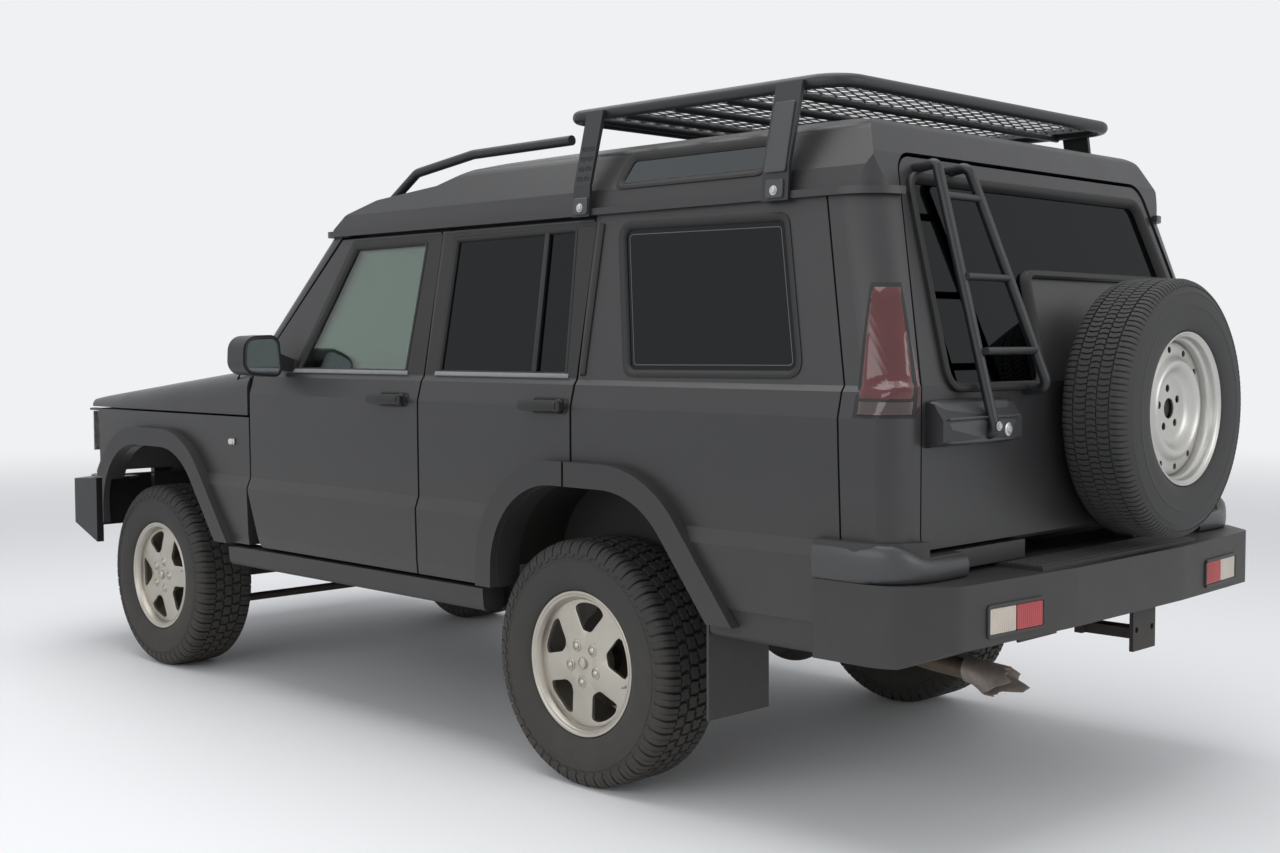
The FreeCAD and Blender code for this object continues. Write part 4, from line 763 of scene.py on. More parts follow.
def road_tyre():
    base = ROAD_RADIUS - TREAD_DEPTH
    step = 2 * math.pi / ROAD_PITCHES
    wide = ROAD_RADIUS * step * BLOCK_SHARE
    half = SIDEWALL + [(base - 0.5, 86), (base, 60), (base + 0.5, 30), (base + 0.5, 8)]
    second = prism_block([(wide * u, y) for u, y in SECOND_ROW], base - TREAD_SUNK, ROAD_RADIUS - 0.4)
    middle = prism_block([(wide * u, y) for u, y in MIDDLE_ROW], base - TREAD_SUNK, ROAD_RADIUS)
    bar = loops("side_bar", [[Vector(p) * MM for p in ring] for ring in SIDE_BAR], 25)
    parts = [lathe("carcass", mirrored_profile(half), 120, 60),
             ring_of("middle", middle, ROAD_PITCHES, step * 0.65)]
    for block, out, back in ((shoulder_lug(wide), 0.0, 0.5), (second, 0.3, 0.8), (bar, 0.5, 0.0)):
        parts += on_both_sides(block, ROAD_PITCHES, out, back)
    return joined("road_tyre", parts, 30)


tyre_mesh = road_tyre()
print("road tyre faces:", len(tyre_mesh.polygons))

# %% [markdown]
# ## The spoked face
# The cast wheel has five broad spokes that swell out of the hub between the nuts and flare into the rim. Its face
# is a sheet of points on rays and rings: the rings pinch in beside each window, so the window's edge runs along
# the grid, and the height rule makes each spoke crowned. Solidify gives it the casting's thickness.

# %% The spoked face
SPOKES = 5
HALF_SECTOR = math.radians(36)
WINDOW = [(96, 0.22), (99, 0.42), (104, 0.55), (114, 0.66), (128, 0.77), (144, 0.88), (158, 0.97), (168, 0.96),
          (175, 0.80), (179, 0.58)]  # (radius, half width as a share of the widest)
WINDOW_WIDEST = math.radians(21.5)
HUB_RINGS, LIP_RINGS = [16, 26, 36, 46, 56, 66, 76, 86], [184, 190]
COLUMNS = 7  # of faces on each half spoke
FACE_Y, FACE_SLOPE, CROWN, HUB_DIP = 93.5, 0.085, 9.0, 3.5  # millimetres from the wheel's middle plane
CASTING = (("SOLIDIFY", {"thickness": 0.013, "offset": -1.0}),
           ("BEVEL", {"width": 0.0022, "segments": 2, "limit_method": "ANGLE", "angle_limit": math.radians(50)}),
           ("SUBSURF", {"levels": 1, "render_levels": 1}))


def spoke_height(radius, off):
    """How far out the face stands. off is the angle from the middle of the nearest spoke."""
    base = FACE_Y - FACE_SLOPE * max(0, radius - 60)
    across = abs(off) / HALF_SECTOR
    crown = CROWN * across ** 2 * min(1.0, max(0.0, (radius - 50) / 60))
    dip = HUB_DIP * math.exp(-((radius - 38) / 14) ** 2)
    return base - crown - dip


def ray_angles(width):
    """The rays across one sector, which pinch in beside a window of this half width."""
    rest = HALF_SECTOR - width
    return ([-HALF_SECTOR + rest * j / COLUMNS for j in range(COLUMNS)] + [-width, -width / 3, width / 3, width]
            + [width + rest * (j + 1) / COLUMNS for j in range(COLUMNS)])


def spoked_face():
    radii = HUB_RINGS + [radius for radius, _ in WINDOW] + LIP_RINGS
    shares = ([WINDOW[0][1]] * len(HUB_RINGS) + [share for _, share in WINDOW] + [WINDOW[-1][1]] * len(LIP_RINGS))
    first, last = len(HUB_RINGS), len(HUB_RINGS) + len(WINDOW) - 1
    points, faces, index = [], [], {}
    for sector in range(SPOKES):
        for i, (radius, share) in enumerate(zip(radii, shares)):
            for j, angle in enumerate(ray_angles(WINDOW_WIDEST * share)):
                turn = 2 * math.pi * sector / SPOKES + angle
                y = spoke_height(radius, HALF_SECTOR - abs(angle))
                index[sector, i, j] = len(points)
                points.append(Vector((radius * math.sin(turn), y, radius * math.cos(turn))) * MM)
        for i in range(len(radii) - 1):
            for j in range(2 * COLUMNS + 3):
                if not (first <= i < last and COLUMNS <= j < COLUMNS + 3):
                    faces.append((index[sector, i, j], index[sector, i, j + 1], index[sector, i + 1, j + 1],
                                  index[sector, i + 1, j]))
    mesh = new_mesh("spoked_face", points, faces, 60)
    if sum(face.normal.y for face in mesh.polygons) < 0:
        mesh.flip_normals()
    mesh = shaped(mesh, *CASTING)
    mesh.shade_smooth()
    return mesh


face_mesh = spoked_face()
print("spoked face:", len(face_mesh.polygons), "faces")

# %% [markdown]
# ## Alloy wheels
# Round the face come the parts that a lathe turns: the barrel with its rolled lips, the blank centre cap, the hub's
# back, the valve, and five nuts in their collars. A nut is a lathe's profile too, with only six sides.

# %% Alloy wheels
NUT_CIRCLE, VALVE_X, VALVE_Z = 57, -176, -28
BARREL = [(216, 98.2), (216.2, 105.5), (214.8, 106.6), (209.5, 106.6), (207.6, 105.2), (206.2, 103.0),
          (203.5, 102.4), (202.0, 104.0), (199.5, 104.2), (197.6, 102.6), (195.6, 97.5), (192.5, 93.0), (190.2, 86),
          (188.6, 76), (187.6, 60), (186, 20), (186, -97.6), (203, -98), (214, -98.2), (215.6, -105),
          (214.4, -106.2), (209, -105.2), (205, -99), (191, -96), (191, 20), (193, 70), (202.6, 97.6)]
NUT = [(0.02, 99.5), (2.5, 99.2), (5.0, 98.0), (6.6, 96.6), (10.4, 95.4), (11.6, 93.8), (11.6, 78), (0.02, 78)]
COLLAR = [(13.2, 80), (13.2, 92.0), (14.2, 94.6), (16.8, 95.0), (18.4, 93.4), (19.4, 88.0), (19.4, 80)]
VALVE = [(0.02, 104), (2.2, 104), (2.8, 102.5), (2.8, 96), (4.2, 95), (4.2, 82), (0.02, 82)]
CAP = [(0.02, 101.2), (9, 100.6), (12.0, 99.6), (12.8, 102.4), (15.6, 102.8), (17.4, 101.0), (18.4, 96),
       (19.0, 84), (0.02, 84)]
HUB_BACK = [(0.02, 86), (70, 84), (78, 60), (70, 31.6), (0.02, 31.6)]


def alloy_rim():
    seat = joined("seat", [lathe("nut", NUT, 6, 25), lathe("collar", COLLAR, 20, 45)], 30)
    nuts = ring_of("nuts", placed(seat, Matrix.Translation((0, 0, NUT_CIRCLE * MM))), SPOKES, HALF_SECTOR, "alloy")
    valve = placed(lathe("valve", VALVE, 10, 40), Matrix.Translation((VALVE_X * MM, 0, VALVE_Z * MM)))
    return joined("alloy_rim", [lathe("barrel", BARREL, 120, 32), face_mesh, nuts, lathe("cap", CAP, 40, 40),
                                lathe("hub_back", HUB_BACK, 40, 40), valve], 38)


rim_mesh = alloy_rim()
print("alloy rim faces:", len(rim_mesh.polygons))

# %% [markdown]
# ## Setting the four wheels
# One tyre and one rim serve all four corners. On the right they are turned half round, so that the spokes face out,
# and each wheel is rolled to an angle of its own, since no car stops with its four valves in line.

# %% Setting the four wheels
WHEEL_TURNS = {"front_left": 0.35, "front_right": 1.1, "rear_left": -0.10, "rear_right": 0.6}


def middle_of(name):
    low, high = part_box(name)
    return (Vector(low) + Vector(high)) / 2


for corner, turn in WHEEL_TURNS.items():
    tyre, rim = "tyre_" + corner, "rim_" + corner
    facing = Matrix.Rotation(0.0 if "left" in corner else math.pi, 4, "Z")
    here = Matrix.Translation(middle_of(tyre)) @ facing @ Matrix.Rotation(turn, 4, "Y")
    piece(tyre + "_tread", placed(tyre_mesh, here), "rubber", owner[tyre], "tyre", [tyre])
    piece(rim + "_cast", placed(rim_mesh, here), "alloy", owner[tyre], "alloy", [rim])
print("wheels set:", len(WHEEL_TURNS))

# %% [markdown]
# ## Spare tyre
# The spare is a road tyre: five ribs with fine cuts across them, and a finely ribbed shoulder. It is made as the
# road tyres are, with more and narrower blocks, so the same functions serve and only the numbers change.

# %% Spare tyre
SPARE_RADIUS = 365.0
SPARE_DEPTH = 7.0
SPARE_PITCHES = 132
RIB_SHARE = 0.74
SPARE_SIDEWALL = [(204, 84), (216.6, 86.0), (218.5, 93), (224, 99), (236, 104), (256, 107), (276, 107.3),
                  (284, 107.0), (286, 108.0), (289, 107.9), (291, 106.4), (308, 104.8), (322, 102.0),
                  (324, 102.8), (327, 102.3), (329, 99.8), (338, 96.0), (347, 90.5), (353, 84), (356.5, 76)]
SHOULDER = [(55, SPARE_RADIUS - SPARE_DEPTH - TREAD_SUNK), (55, 364.0), (72, 363.2), (82, 359.6), (90, 352.5),
            (95.5, 343), (93, 342), (80, 352)]
SHOULDER_EDGES = ((-0.5, 0.8), (-0.42, 0.0), (0.42, 0.0), (0.5, 0.8))  # (share of its width, drop)
SHOULDER_FACE, SHOULDER_SKEW = range(1, 6), 0.05
RIBS = ((17, 50, 3.0, 0.3, 0.5), (-14, 14, -3.0, 0.7, 0.1), (-50, -17, 3.0, 0.1, 0.5))
# each rib's low y, high y, skew, first turn in pitches, and how far it stays under the full radius


def spare_tyre():
    base = SPARE_RADIUS - SPARE_DEPTH
    step = 2 * math.pi / SPARE_PITCHES
    half_wide = SPARE_RADIUS * step * RIB_SHARE / 2
    half = SPARE_SIDEWALL + [(base, 66), (base + 0.5, 40), (base + 0.8, 14)]
    rings = [[Vector((share * 2 * half_wide + SHOULDER_SKEW * (y - SHOULDER[0][0]), y,
                      radius - (drop if j in SHOULDER_FACE else 0))) * MM
              for j, (y, radius) in enumerate(SHOULDER)] for share, drop in SHOULDER_EDGES]
    parts = [lathe("spare_carcass", mirrored_profile(half), 120, 60)]
    parts += on_both_sides(loops("shoulder_rib", rings, 25), SPARE_PITCHES, 0.0, 0.5)
    for low, high, skew, start, under in RIBS:
        middle = (low + high) / 2
        outline = [(-half_wide, low), (half_wide, low), (half_wide + skew, middle), (half_wide, high),
                   (-half_wide, high), (-half_wide + skew, middle)]
        block = prism_block(outline, base - TREAD_SUNK, SPARE_RADIUS - under, 0.8)
        parts.append(ring_of("ribs", block, SPARE_PITCHES, step * start))
    return joined("spare_tyre_ribbed", parts, 30)


spare_here = Matrix.Translation(middle_of("spare_tyre")) @ TAILWARDS
spare = piece("spare_tyre_ribbed", placed(spare_tyre(), spare_here), "rubber_spare", gate, "tyre", ["spare_tyre"])
print("spare tyre faces:", len(spare.data.polygons), "on", gate)

# %% [markdown]
# ## Spare rim
# The spare's wheel is pressed from sheet steel. Its disc is a trough with a ring of holes, then a rolled edge, then
# a bowl with the bolt openings in its floor. The disc is turned, and the holes are cut with a Boolean, as a punch
# cuts them, because they pass through a curved sheet at a slant.

# %% Spare rim
LIP = 94.6  # the outer lip, from the wheel's middle plane
SHEET = 4.5
STEEL_BARREL = [(215.8, 86.2), (216.2, LIP - 2), (215, LIP), (211.5, LIP + 0.2), (209.4, LIP - 1.4),
                (207.4, LIP - 4.5), (204, LIP - 6.0), (201.6, LIP - 8.2), (200.2, LIP - 13), (199.4, LIP - 24),
                (197.2, LIP - 27.5), (193.6, LIP - 29.5), (191.8, LIP - 33), (190.8, LIP - 44), (189.4, 30),
                (188, -85), (204, -86), (214.6, -86.4), (215.8, -92), (213, -94), (207, -92), (203, -84),
                (192, -82), (193, 34), (202.6, 84)]
DISC_FRONT = [(29, 41.0), (40, 40.2), (70, 40.2), (84, 40.8), (93, 43.0), (101, 49.0), (109, 59.0), (115, 66.5),
              (121, 71.0), (127, 72.6), (132, 71.4), (137, 67.0), (143, 59.0), (149, 53.5), (156, 51.0),
              (168, 50.6), (180, 49.6), (186, 46.5), (190.5, 40)]
HOLES = ((12, 166, 9.5, 70), (5, 57, 11.0, 45))  # count, circle, radius and how high the punch reaches
HOLE_TURN = 0.13
SPARE_HUB = [(0.02, 30), (26, 30), (28, 26), (28, 5.0), (0.02, 5.0)]


def pressed_rim():
    disc = lathe("pressed_disc", DISC_FRONT + [(radius, y - SHEET) for radius, y in reversed(DISC_FRONT)], 144, 50)
    punches = []
    for count, circle, radius, top in HOLES:
        bit = lathe("punch", [(0.02, 20), (radius, 20), (radius, top), (0.02, top)], 20, 40)
        bit = placed(bit, Matrix.Translation((0, 0, circle * MM)))
        punches.append(ring_of("punches", bit, count, HOLE_TURN, "steel_wheel"))
    punch = put("punch", joined("punches", punches))
    disc = shaped(disc, ("BOOLEAN", {"object": punch, "operation": "DIFFERENCE", "solver": "EXACT"}))
    bpy.data.objects.remove(punch)
    return joined("pressed_rim", [lathe("steel_barrel", STEEL_BARREL, 120, 32), smoothed(disc, 38)], 38)


spare = piece("spare_rim_pressed", placed(pressed_rim(), spare_here), "steel_wheel", gate, "steel_rim", ["spare_rim"])
hub = lathe("spare_hub", SPARE_HUB, 32, 40)
piece("spare_carrier_hub", placed(hub, spare_here), "chassis", gate, "chassis_black")
print("spare rim faces:", len(spare.data.polygons))

# %% [markdown]
# ## Measuring the panels
# Seals, frames and lamp edges lie on the metal, and the metal slopes and curves. Guessed places would float above
# it or sink into it. So rays are aimed at the frame's own pieces: three of them find a flat panel's plane, and on a
# curved one each point gets a ray of its own.

# %% Measuring the panels
LOOKS = {  # where each view stands, and the way it looks
    "left": (lambda u, v: at(u, 1500, v), Vector((0, -1, 0))),
    "right": (lambda u, v: at(u, -1500, v), Vector((0, 1, 0))),
    "tail": (lambda u, v: at(-1900, u, v), Vector((1, 0, 0))),
    "nose": (lambda u, v: at(4000, u, v), Vector((-1, 0, 0))),
}


def skin(*names):
    """The surfaces of some frame pieces, ready for rays."""
    points, faces = [], []
    for name in names:
        thing, first = nodes[name], len(points)
        points += [thing.matrix_world @ v.co for v in thing.data.vertices]
        faces += [[first + i for i in f.vertices] for f in thing.data.polygons]
    return BVHTree.FromPolygons(points, faces)


def touch(tree, look, u, v):
    """The point and outward direction that a ray at (u, v) millimetres meets."""
    start, way = LOOKS[look]
    place, normal, _, _ = tree.ray_cast(start(u, v), way)
    if place is None:
        raise ValueError(f"no panel at {u}, {v} from the {look}")
    return place, (normal if normal.dot(way) < 0 else -normal)


def flat_on(tree, look, spots):
    """A rule that puts (u, v, height) on the plane through three spots of a panel."""
    start, way = LOOKS[look]
    a, b, c = (touch(tree, look, u, v)[0] for u, v in spots)
    normal = (b - a).cross(c - a).normalized()
    if normal.dot(way) > 0:
        normal = -normal
    return lambda u, v, up: start(u, v) + way * ((a - start(u, v)).dot(normal) / way.dot(normal)) + normal * up * MM


def follows(tree, look):
    """A rule that puts (u, v, height) on the panel itself, however it curves."""
    def rule(u, v, up):
        place, normal = touch(tree, look, u, v)
        return place + normal * up * MM
    return rule


print("views to measure from:", list(LOOKS))

# %% [markdown]
# ## Strips and plates
# An outline is written once, flat, with a radius at each corner. A section of (inset, height) pairs is carried
# round it: closed, it is a seal or a rim, and capped, it is a plate with a broken edge. Moving the outline in or out
# keeps its corners' centres, as a router's cutter does.

# %% Strips and plates
LEAST_RADIUS = 0.8


def inset(corners, by):
    """The outline moved in by some millimetres, or out where by is negative."""
    area = sum(a[0] * b[1] - b[0] * a[1] for a, b in zip(corners, corners[1:] + corners[:1]))
    turn, moved = (1 if area > 0 else -1), []
    for i, (u, v, radius) in enumerate(corners):
        here, before, after = Vector((u, v)), Vector(corners[i - 1][:2]), Vector(corners[(i + 1) % len(corners)][:2])
        one, two = (here - before).normalized(), (after - here).normalized()
        n1, n2 = Vector((-one.y, one.x)) * turn, Vector((-two.y, two.x)) * turn
        bulge = (one.x * two.y - one.y * two.x) * turn
        place = here + (n1 + n2) / (1 + n1.dot(n2)) * by
        moved.append((place.x, place.y, max(LEAST_RADIUS, radius - by if bulge > 0 else radius + by)))
    return moved


def carried(corners, section, rule, steps):
    """The rings of a section of (inset, height) carried round an outline."""
    return [[rule(p.x, p.y, up) for p in rounded(inset(corners, by), steps)] for by, up in section]


def strip(name, corners, section, rule, steps=6):
    return loops(name, carried(corners, section, rule, steps), ends="joined")


def solid(name, corners, section, rule, steps=6):
    return loops(name, carried(corners, section, rule, steps))


def plate(name, corners, rule, low, high, bevel=1.0, steps=6):
    """A flat plate with a bevelled face, from one height to another."""
    return solid(name, corners, [(0, low), (0, high - bevel), (bevel, high)], rule, steps)


print("a 10 mm square inset by 2 mm:", [(round(u), round(v)) for u, v, _ in inset(oblong(0, 10, 0, 10, 1), 2)])

# %% [markdown]
# ## Door windows
# Each pane sits a centimetre behind the metal, and a rubber seal closes the step, so its section climbs from the
# glass over the panel's edge. Black frames join the windows into one dark band, and a strip runs along the waist
# below them, its pale grey a painted highlight. All of it is cut from plates that lie on the door's own plane, and
# rides on the door.

# %% Door windows
SEAL = [(-5, 0.2), (-5, 2.0), (-1, 3.2), (5, 1.8), (9, -3.0), (11, -9.4), (0.6, -9.4), (0.6, 0.2)]
WAIST, HEAD = 1212, 1672  # the black frames' foot and top
STRIP_FOOT, STRIP_TOP = 1208, 1221
DOORS = {  # three spots of bare metal, the pane, the frames round it, and how far the strip runs on at foot and top
    "door_front": {
        "spots": [(790, 1300), (790, 1640), (1350, 1658)],
        "pane": [(1505, 1217, 12), (1252, 1648, 25), (838, 1650, 15), (858, 1217, 12)],
        "frames": [[(851, WAIST, 2), (829, 1654, 8), (829, HEAD, 2), (759, HEAD, 2), (759, WAIST, 2)],
                   [(1253, 1653, 8), (1500, 1232, 20), (1528, 1218, 8), (1266, HEAD, 6), (829, HEAD, 2),
                    (829, 1655, 2)]],
        "strip": (22, 14)},
    "door_rear": {
        "spots": [(720, 1300), (720, 1640), (40, 1300)],
        "pane": [(690, 1217, 12), (688, 1650, 15), (108, 1655, 15), (72, 1217, 12)],
        "frames": [[(696, WAIST, 2), (747, WAIST, 2), (747, HEAD, 2), (694, HEAD, 2)],
                   [(694, 1656, 2), (694, HEAD, 2), (24, HEAD, 2), (24, 1660, 2)],
                   [(66, WAIST, 2), (102, 1660, 8), (24, 1660, 2), (24, WAIST, 2)]],
        "strip": (8, 8)},
}
DIVIDER = [(210, 1222, 1), (230, 1222, 1), (252, 1650, 1), (232, 1650, 1)]


def dress_door(door, side):
    name, shape = door + "_" + side, DOORS[door]
    wall, pane = flat_on(skin(name), side, shape["spots"]), shape["pane"]
    piece(name + "_window_seal", strip("seal", pane, SEAL, wall), "seal", owner[name], "black_plastic")
    frames = [plate("frame", outline, wall, 0.1, 1.6, 0.6) for outline in shape["frames"]]
    piece(name + "_black_frame", joined("frames", frames), "frame_black", owner[name], "black_plastic")
    front, back = pane[0][0], pane[3][0] - 12
    run = [(back, STRIP_FOOT, 1), (front + shape["strip"][0], STRIP_FOOT, 1),
           (front + shape["strip"][1], STRIP_TOP, 2), (back, STRIP_TOP, 2)]
    # painted highlight: the waist strip's pale grey finish stands in for the light along the waist
    piece(name + "_waist_strip", plate("waist_strip", run, wall, 0.4, 5.0, 2.0), "waist_strip", owner[name],
          "trim_plastic")
    if door == "door_rear":
        piece("door_rear_divider_" + side, plate("divider", DIVIDER, wall, -9.6, 1.0, 2.0), "frame_black",
              owner[name], "black_plastic")


for side, _ in SIDES:
    for door in DOORS:
        dress_door(door, side)
print("doors dressed:", len(SIDES) * len(DOORS))

# %% [markdown]
# ## Fixed windows
# The quarter panes, the small panes in the roof's edge and the tailgate's pane don't open, so they are glued in with
# a wide rubber seal. Round each big one runs a fine line where the dark ceramic band ends, which hides the glue. It
# is printed on the inside of the glass, and here it is a hair-thin strip on its outside, where it can be seen.

# %% Fixed windows
WIDE_SEAL = [(-8, 0.2), (-8, 3.0), (-3, 5.0), (5, 4.4), (12, -1.0), (15, -7.4), (0.6, -7.4), (0.6, 0.2)]
ROOF_SEAL = [(by, up + (2.6 if up < -5 else 0)) for by, up in WIDE_SEAL]
TAIL_SEAL = [(-12, 0.2), (-12, 10), (-7, 15), (2, 15), (10, 8), (15, -11.4), (0.6, -11.4), (0.6, 0.2)]
QUARTER_PANE = [(-178, 1223, 40), (-78, 1655, 40), (-705, 1648, 40), (-818, 1227, 40)]
ALPINE_PANE = [(-33, 1768, 25), (-55, 1862, 25), (-590, 1862, 25), (-603, 1768, 25)]
TAIL_PANE = [(668, 1197, 50), (622, 1742, 50), (-590, 1742, 50), (-650, 1500, 10), (170, 1500, 40), (212, 1197, 40)]
POST = [(8, 1216, 3), (8, 1664, 6), (-12, 1664, 6), (-12, 1216, 6)]


def band_line(pane, by, glass, wide, thick, wall):
    """The fine line on the glass, some millimetres inside the pane's edge."""
    section = [(0, glass - thick), (0, glass), (wide, glass), (wide, glass - thick)]
    return strip("band", inset(pane, by), section, wall, 8)


def seal_fixed(name, pane, section, wall, body, steps=8):
    piece(name, strip("seal", pane, section, wall, steps), "seal", body, "black_plastic")


for side, _ in SIDES:
    wall = flat_on(skin("rear_side_panels"), side, [(-60, 1300), (-40, 1640), (-850, 1300)])
    roof = flat_on(skin("roof_panel"), side, [(-20, 1780), (-20, 1850), (-640, 1800)])
    seal_fixed("quarter_seal_" + side, QUARTER_PANE, WIDE_SEAL, wall, "body")
    piece("quarter_band_" + side, band_line(QUARTER_PANE, 27, -7.4, 2.4, 0.5, wall), "ceramic_band", "body",
          "black_plastic")
    seal_fixed("alpine_seal_" + side, ALPINE_PANE, ROOF_SEAL, roof, "body", 6)
    piece("post_moulding_" + side, plate("post_moulding", POST, wall, 0.3, 9.0, 5.0), "frame_black", "body",
          "trim_plastic")
tail_wall = flat_on(skin("tailgate"), "tail", [(-690, 1260), (690, 1300), (-600, 1765)])
seal_fixed("tail_window_seal", TAIL_PANE, TAIL_SEAL, tail_wall, gate)
piece("tail_window_band", band_line(TAIL_PANE, 34, -11.5, 1.6, 0.4, tail_wall), "ceramic_band", gate,
      "black_plastic")
print("seals laid:", made("_seal"))

# %% [markdown]
# ## Tail lamps
# A tall tail lamp is one red moulding with a smoked foot, held in a black gasket. It wraps round the car's rear
# corner, which is neither flat nor round, so it is a grid of points, each set down on the panel by a ray that is
# aimed from inside the corner. The grid is crowned at its edges, as a moulded lens is.

# %% Tail lamps
LAMP_COLUMNS, LAMP_ROWS = 14, 18
LAMP_FOOT, LAMP_TALL = 1130, 330  # over this height the corner leans in, so the lamp takes more of the turn
ROUND_FOOT_UNDER = 1180  # a plate that starts lower than this has its edge turned down at its foot too
CORNER_X, CORNER_Y, RAY_START = -985, 740, 0.6  # a point inside the corner, and how far before it the rays start
AIM_FROM, AIM_TURN = 12, 66  # degrees
TAIL_LAMP = (  # name, finish, slot, from and to round the corner, from and to in height, low and high on the panel
    ("tail_lamp_red_", "red_lamp", "red_lens", 0.06, 0.80, 1171, 1452, 1.0, 7.0),
    ("tail_lamp_smoked_", "smoked_lamp", "red_lens", 0.06, 0.80, 1134, 1169, 1.0, 6.0),
    ("tail_lamp_gasket_", "seal", "black_plastic", 0.00, 0.87, 1126, 1462, 0.2, 2.6),
)


def round_corner(tree, turn):
    """A rule on the rear corner: u runs round it from the side (0) to the tail (1), v is the height."""
    def rule(u, v, up):
        aim = math.radians(AIM_FROM + AIM_TURN * u)
        way = Vector((math.sin(aim), -turn * math.cos(aim), 0))
        place = tree.ray_cast(at(CORNER_X, turn * CORNER_Y, v) - way * RAY_START, way)[0]
        return place - way * up * MM
    return rule


def corner_plate(name, rule, u0, u1, z0, z1, low, high):
    """A curved plate: a grid of points, its edge turned down, and a back sheet 2.5 mm below."""
    across, sheet, under = LAMP_COLUMNS + 1, [], []
    for i in range(LAMP_ROWS + 1):
        for j in range(across):
            s, t = j / LAMP_COLUMNS, i / LAMP_ROWS
            height = z0 + (z1 - z0) * t
            share = (height - LAMP_FOOT) / LAMP_TALL
            reach = u0 - 0.13 * share + (u1 - u0 + 0.16 * share) * s + 0.12 * (share - 0.5)
            edge = min(s, 1 - s, (t if z0 < ROUND_FOOT_UNDER else 1.0) * 2.2, (1 - t) * 2.2)
            lift = low + (high - low) * min(1.0, (edge / 0.06) ** 0.5 if edge > 0 else 0)
            sheet.append(rule(reach, height, lift))
            under.append(rule(reach, height, low - 2.5))
    count = len(sheet)
    faces = [(i * across + j, i * across + j + 1, (i + 1) * across + j + 1, (i + 1) * across + j)
             for i in range(LAMP_ROWS) for j in range(LAMP_COLUMNS)]
    faces += [tuple(count + k for k in reversed(face)) for face in faces]
    rim = list(range(across)) + [i * across + LAMP_COLUMNS for i in range(1, LAMP_ROWS + 1)]
    rim += [LAMP_ROWS * across + j for j in range(LAMP_COLUMNS - 1, -1, -1)]
    rim += [i * across for i in range(LAMP_ROWS - 1, 0, -1)]
    faces += [(a, count + a, count + b, b) for a, b in zip(rim, rim[1:] + rim[:1])]
    return new_mesh(name, sheet + under, faces, 40)


corner_tree = skin("rear_side_panels", "rear_lamps")
for side, turn in SIDES:
    rule = round_corner(corner_tree, turn)
    for name, key, slot, *shape in TAIL_LAMP:
        piece(name + side, corner_plate("lamp", rule, *shape), key, "body", slot)
print("tail lamps:", len(SIDES) * len(TAIL_LAMP), "pieces")

# %% [markdown]
# ## Bumper lamps
# The bumper lamp is half reversing lamp, half fog lamp, and both halves have ribs down their faces. It sits in a
# shallow well, so a rim runs round it. The well's floor curves, so plate, ribs and rim follow it by rays.

# %% Bumper lamps
LAMP_OUTER, LAMP_INNER, LAMP_LOW, LAMP_HIGH = 684, 462, 590, 656
LENS_SECTION = ((0, 0.4), (0, 2.5), (2, 4.2))
RIM_SECTION = [(-4, 0.2), (-4, 5), (0, 7), (5, 5.4), (5, 0.2)]
LENS_PITCHES = 13
bumper_face = follows(skin("rear_bumper", "rear_lamps"), "tail")


def bumper_lens(name, u0, u1, turn, key, slot):
    corners = oblong(turn * u0, turn * u1, LAMP_LOW, LAMP_HIGH, 4)
    parts = [solid(name, corners, LENS_SECTION, bumper_face, 4)]
    for k in range(1, LENS_PITCHES):
        u = turn * (u0 + (u1 - u0) * k / LENS_PITCHES)
        parts.append(loops("rib", [[bumper_face(u + a, z, up) for a, up in ((-1.6, 3.6), (0, 5.2), (1.6, 3.6))]
                                   for z in (594, 623, 652)]))
    piece(name, joined(name, parts), key, "body", slot)


for side, turn in SIDES:
    middle = (LAMP_OUTER + LAMP_INNER) / 2
    bumper_lens("bumper_lamp_white_" + side, LAMP_OUTER, middle + 2, turn, "white_lamp", "clear_lens")
    bumper_lens("bumper_lamp_red_" + side, middle - 2, LAMP_INNER, turn, "fog_lamp", "red_lens")
    rim = oblong(turn * (LAMP_OUTER + 5), turn * (LAMP_INNER - 5), LAMP_LOW - 5, LAMP_HIGH + 5, 10)
    piece("bumper_lamp_rim_" + side, strip("rim", rim, RIM_SECTION, bumper_face, 5), "moulding", "body",
          "trim_plastic")
print("bumper lamps:", made("bumper_lamp"), "pieces")

# %% [markdown]
# ## Corner bolsters and the bumper's step
# The bolster is a rounded moulding that lies on the bumper's end and covers the panel's foot. Its section is carried
# along a line drawn in plan, square to that line at each point. Where the tailgate's foot swings over it, it is
# lower. The step between the bolsters has nine ribs, so that a wet boot holds.

# %% Corner bolsters and the bumper's step
BOLSTER_LINE = [(-905, 921), (-960, 921), (-1010, 920), (-1055, 916), (-1092, 907), (-1122, 888), (-1141, 866),
                (-1153, 840), (-1160, 815), (-1164, 790), (-1166, 765), (-1166, 740), (-1166, 690), (-1164, 640)]
BOLSTER_SECTION = ((-16, 723), (4, 723), (9.5, 729), (12, 742), (13, 765), (12, 788), (8.5, 805), (2, 816),
                   (-7, 822), (-16, 823))  # (outwards, height)
BOLSTER_FOOT = 723
LOW_SHARE, LOW_UNDER, FULL_FROM = 0.58, 790, 905  # the low part's share of the height, and the y it rises between
STEP_RIBS, STEP_PITCH, STEP_REACH = 9, 12.5, 420
STEP_SECTION = ((-3.2, 731), (-2.2, 735.5), (2.2, 735.5), (3.2, 731))


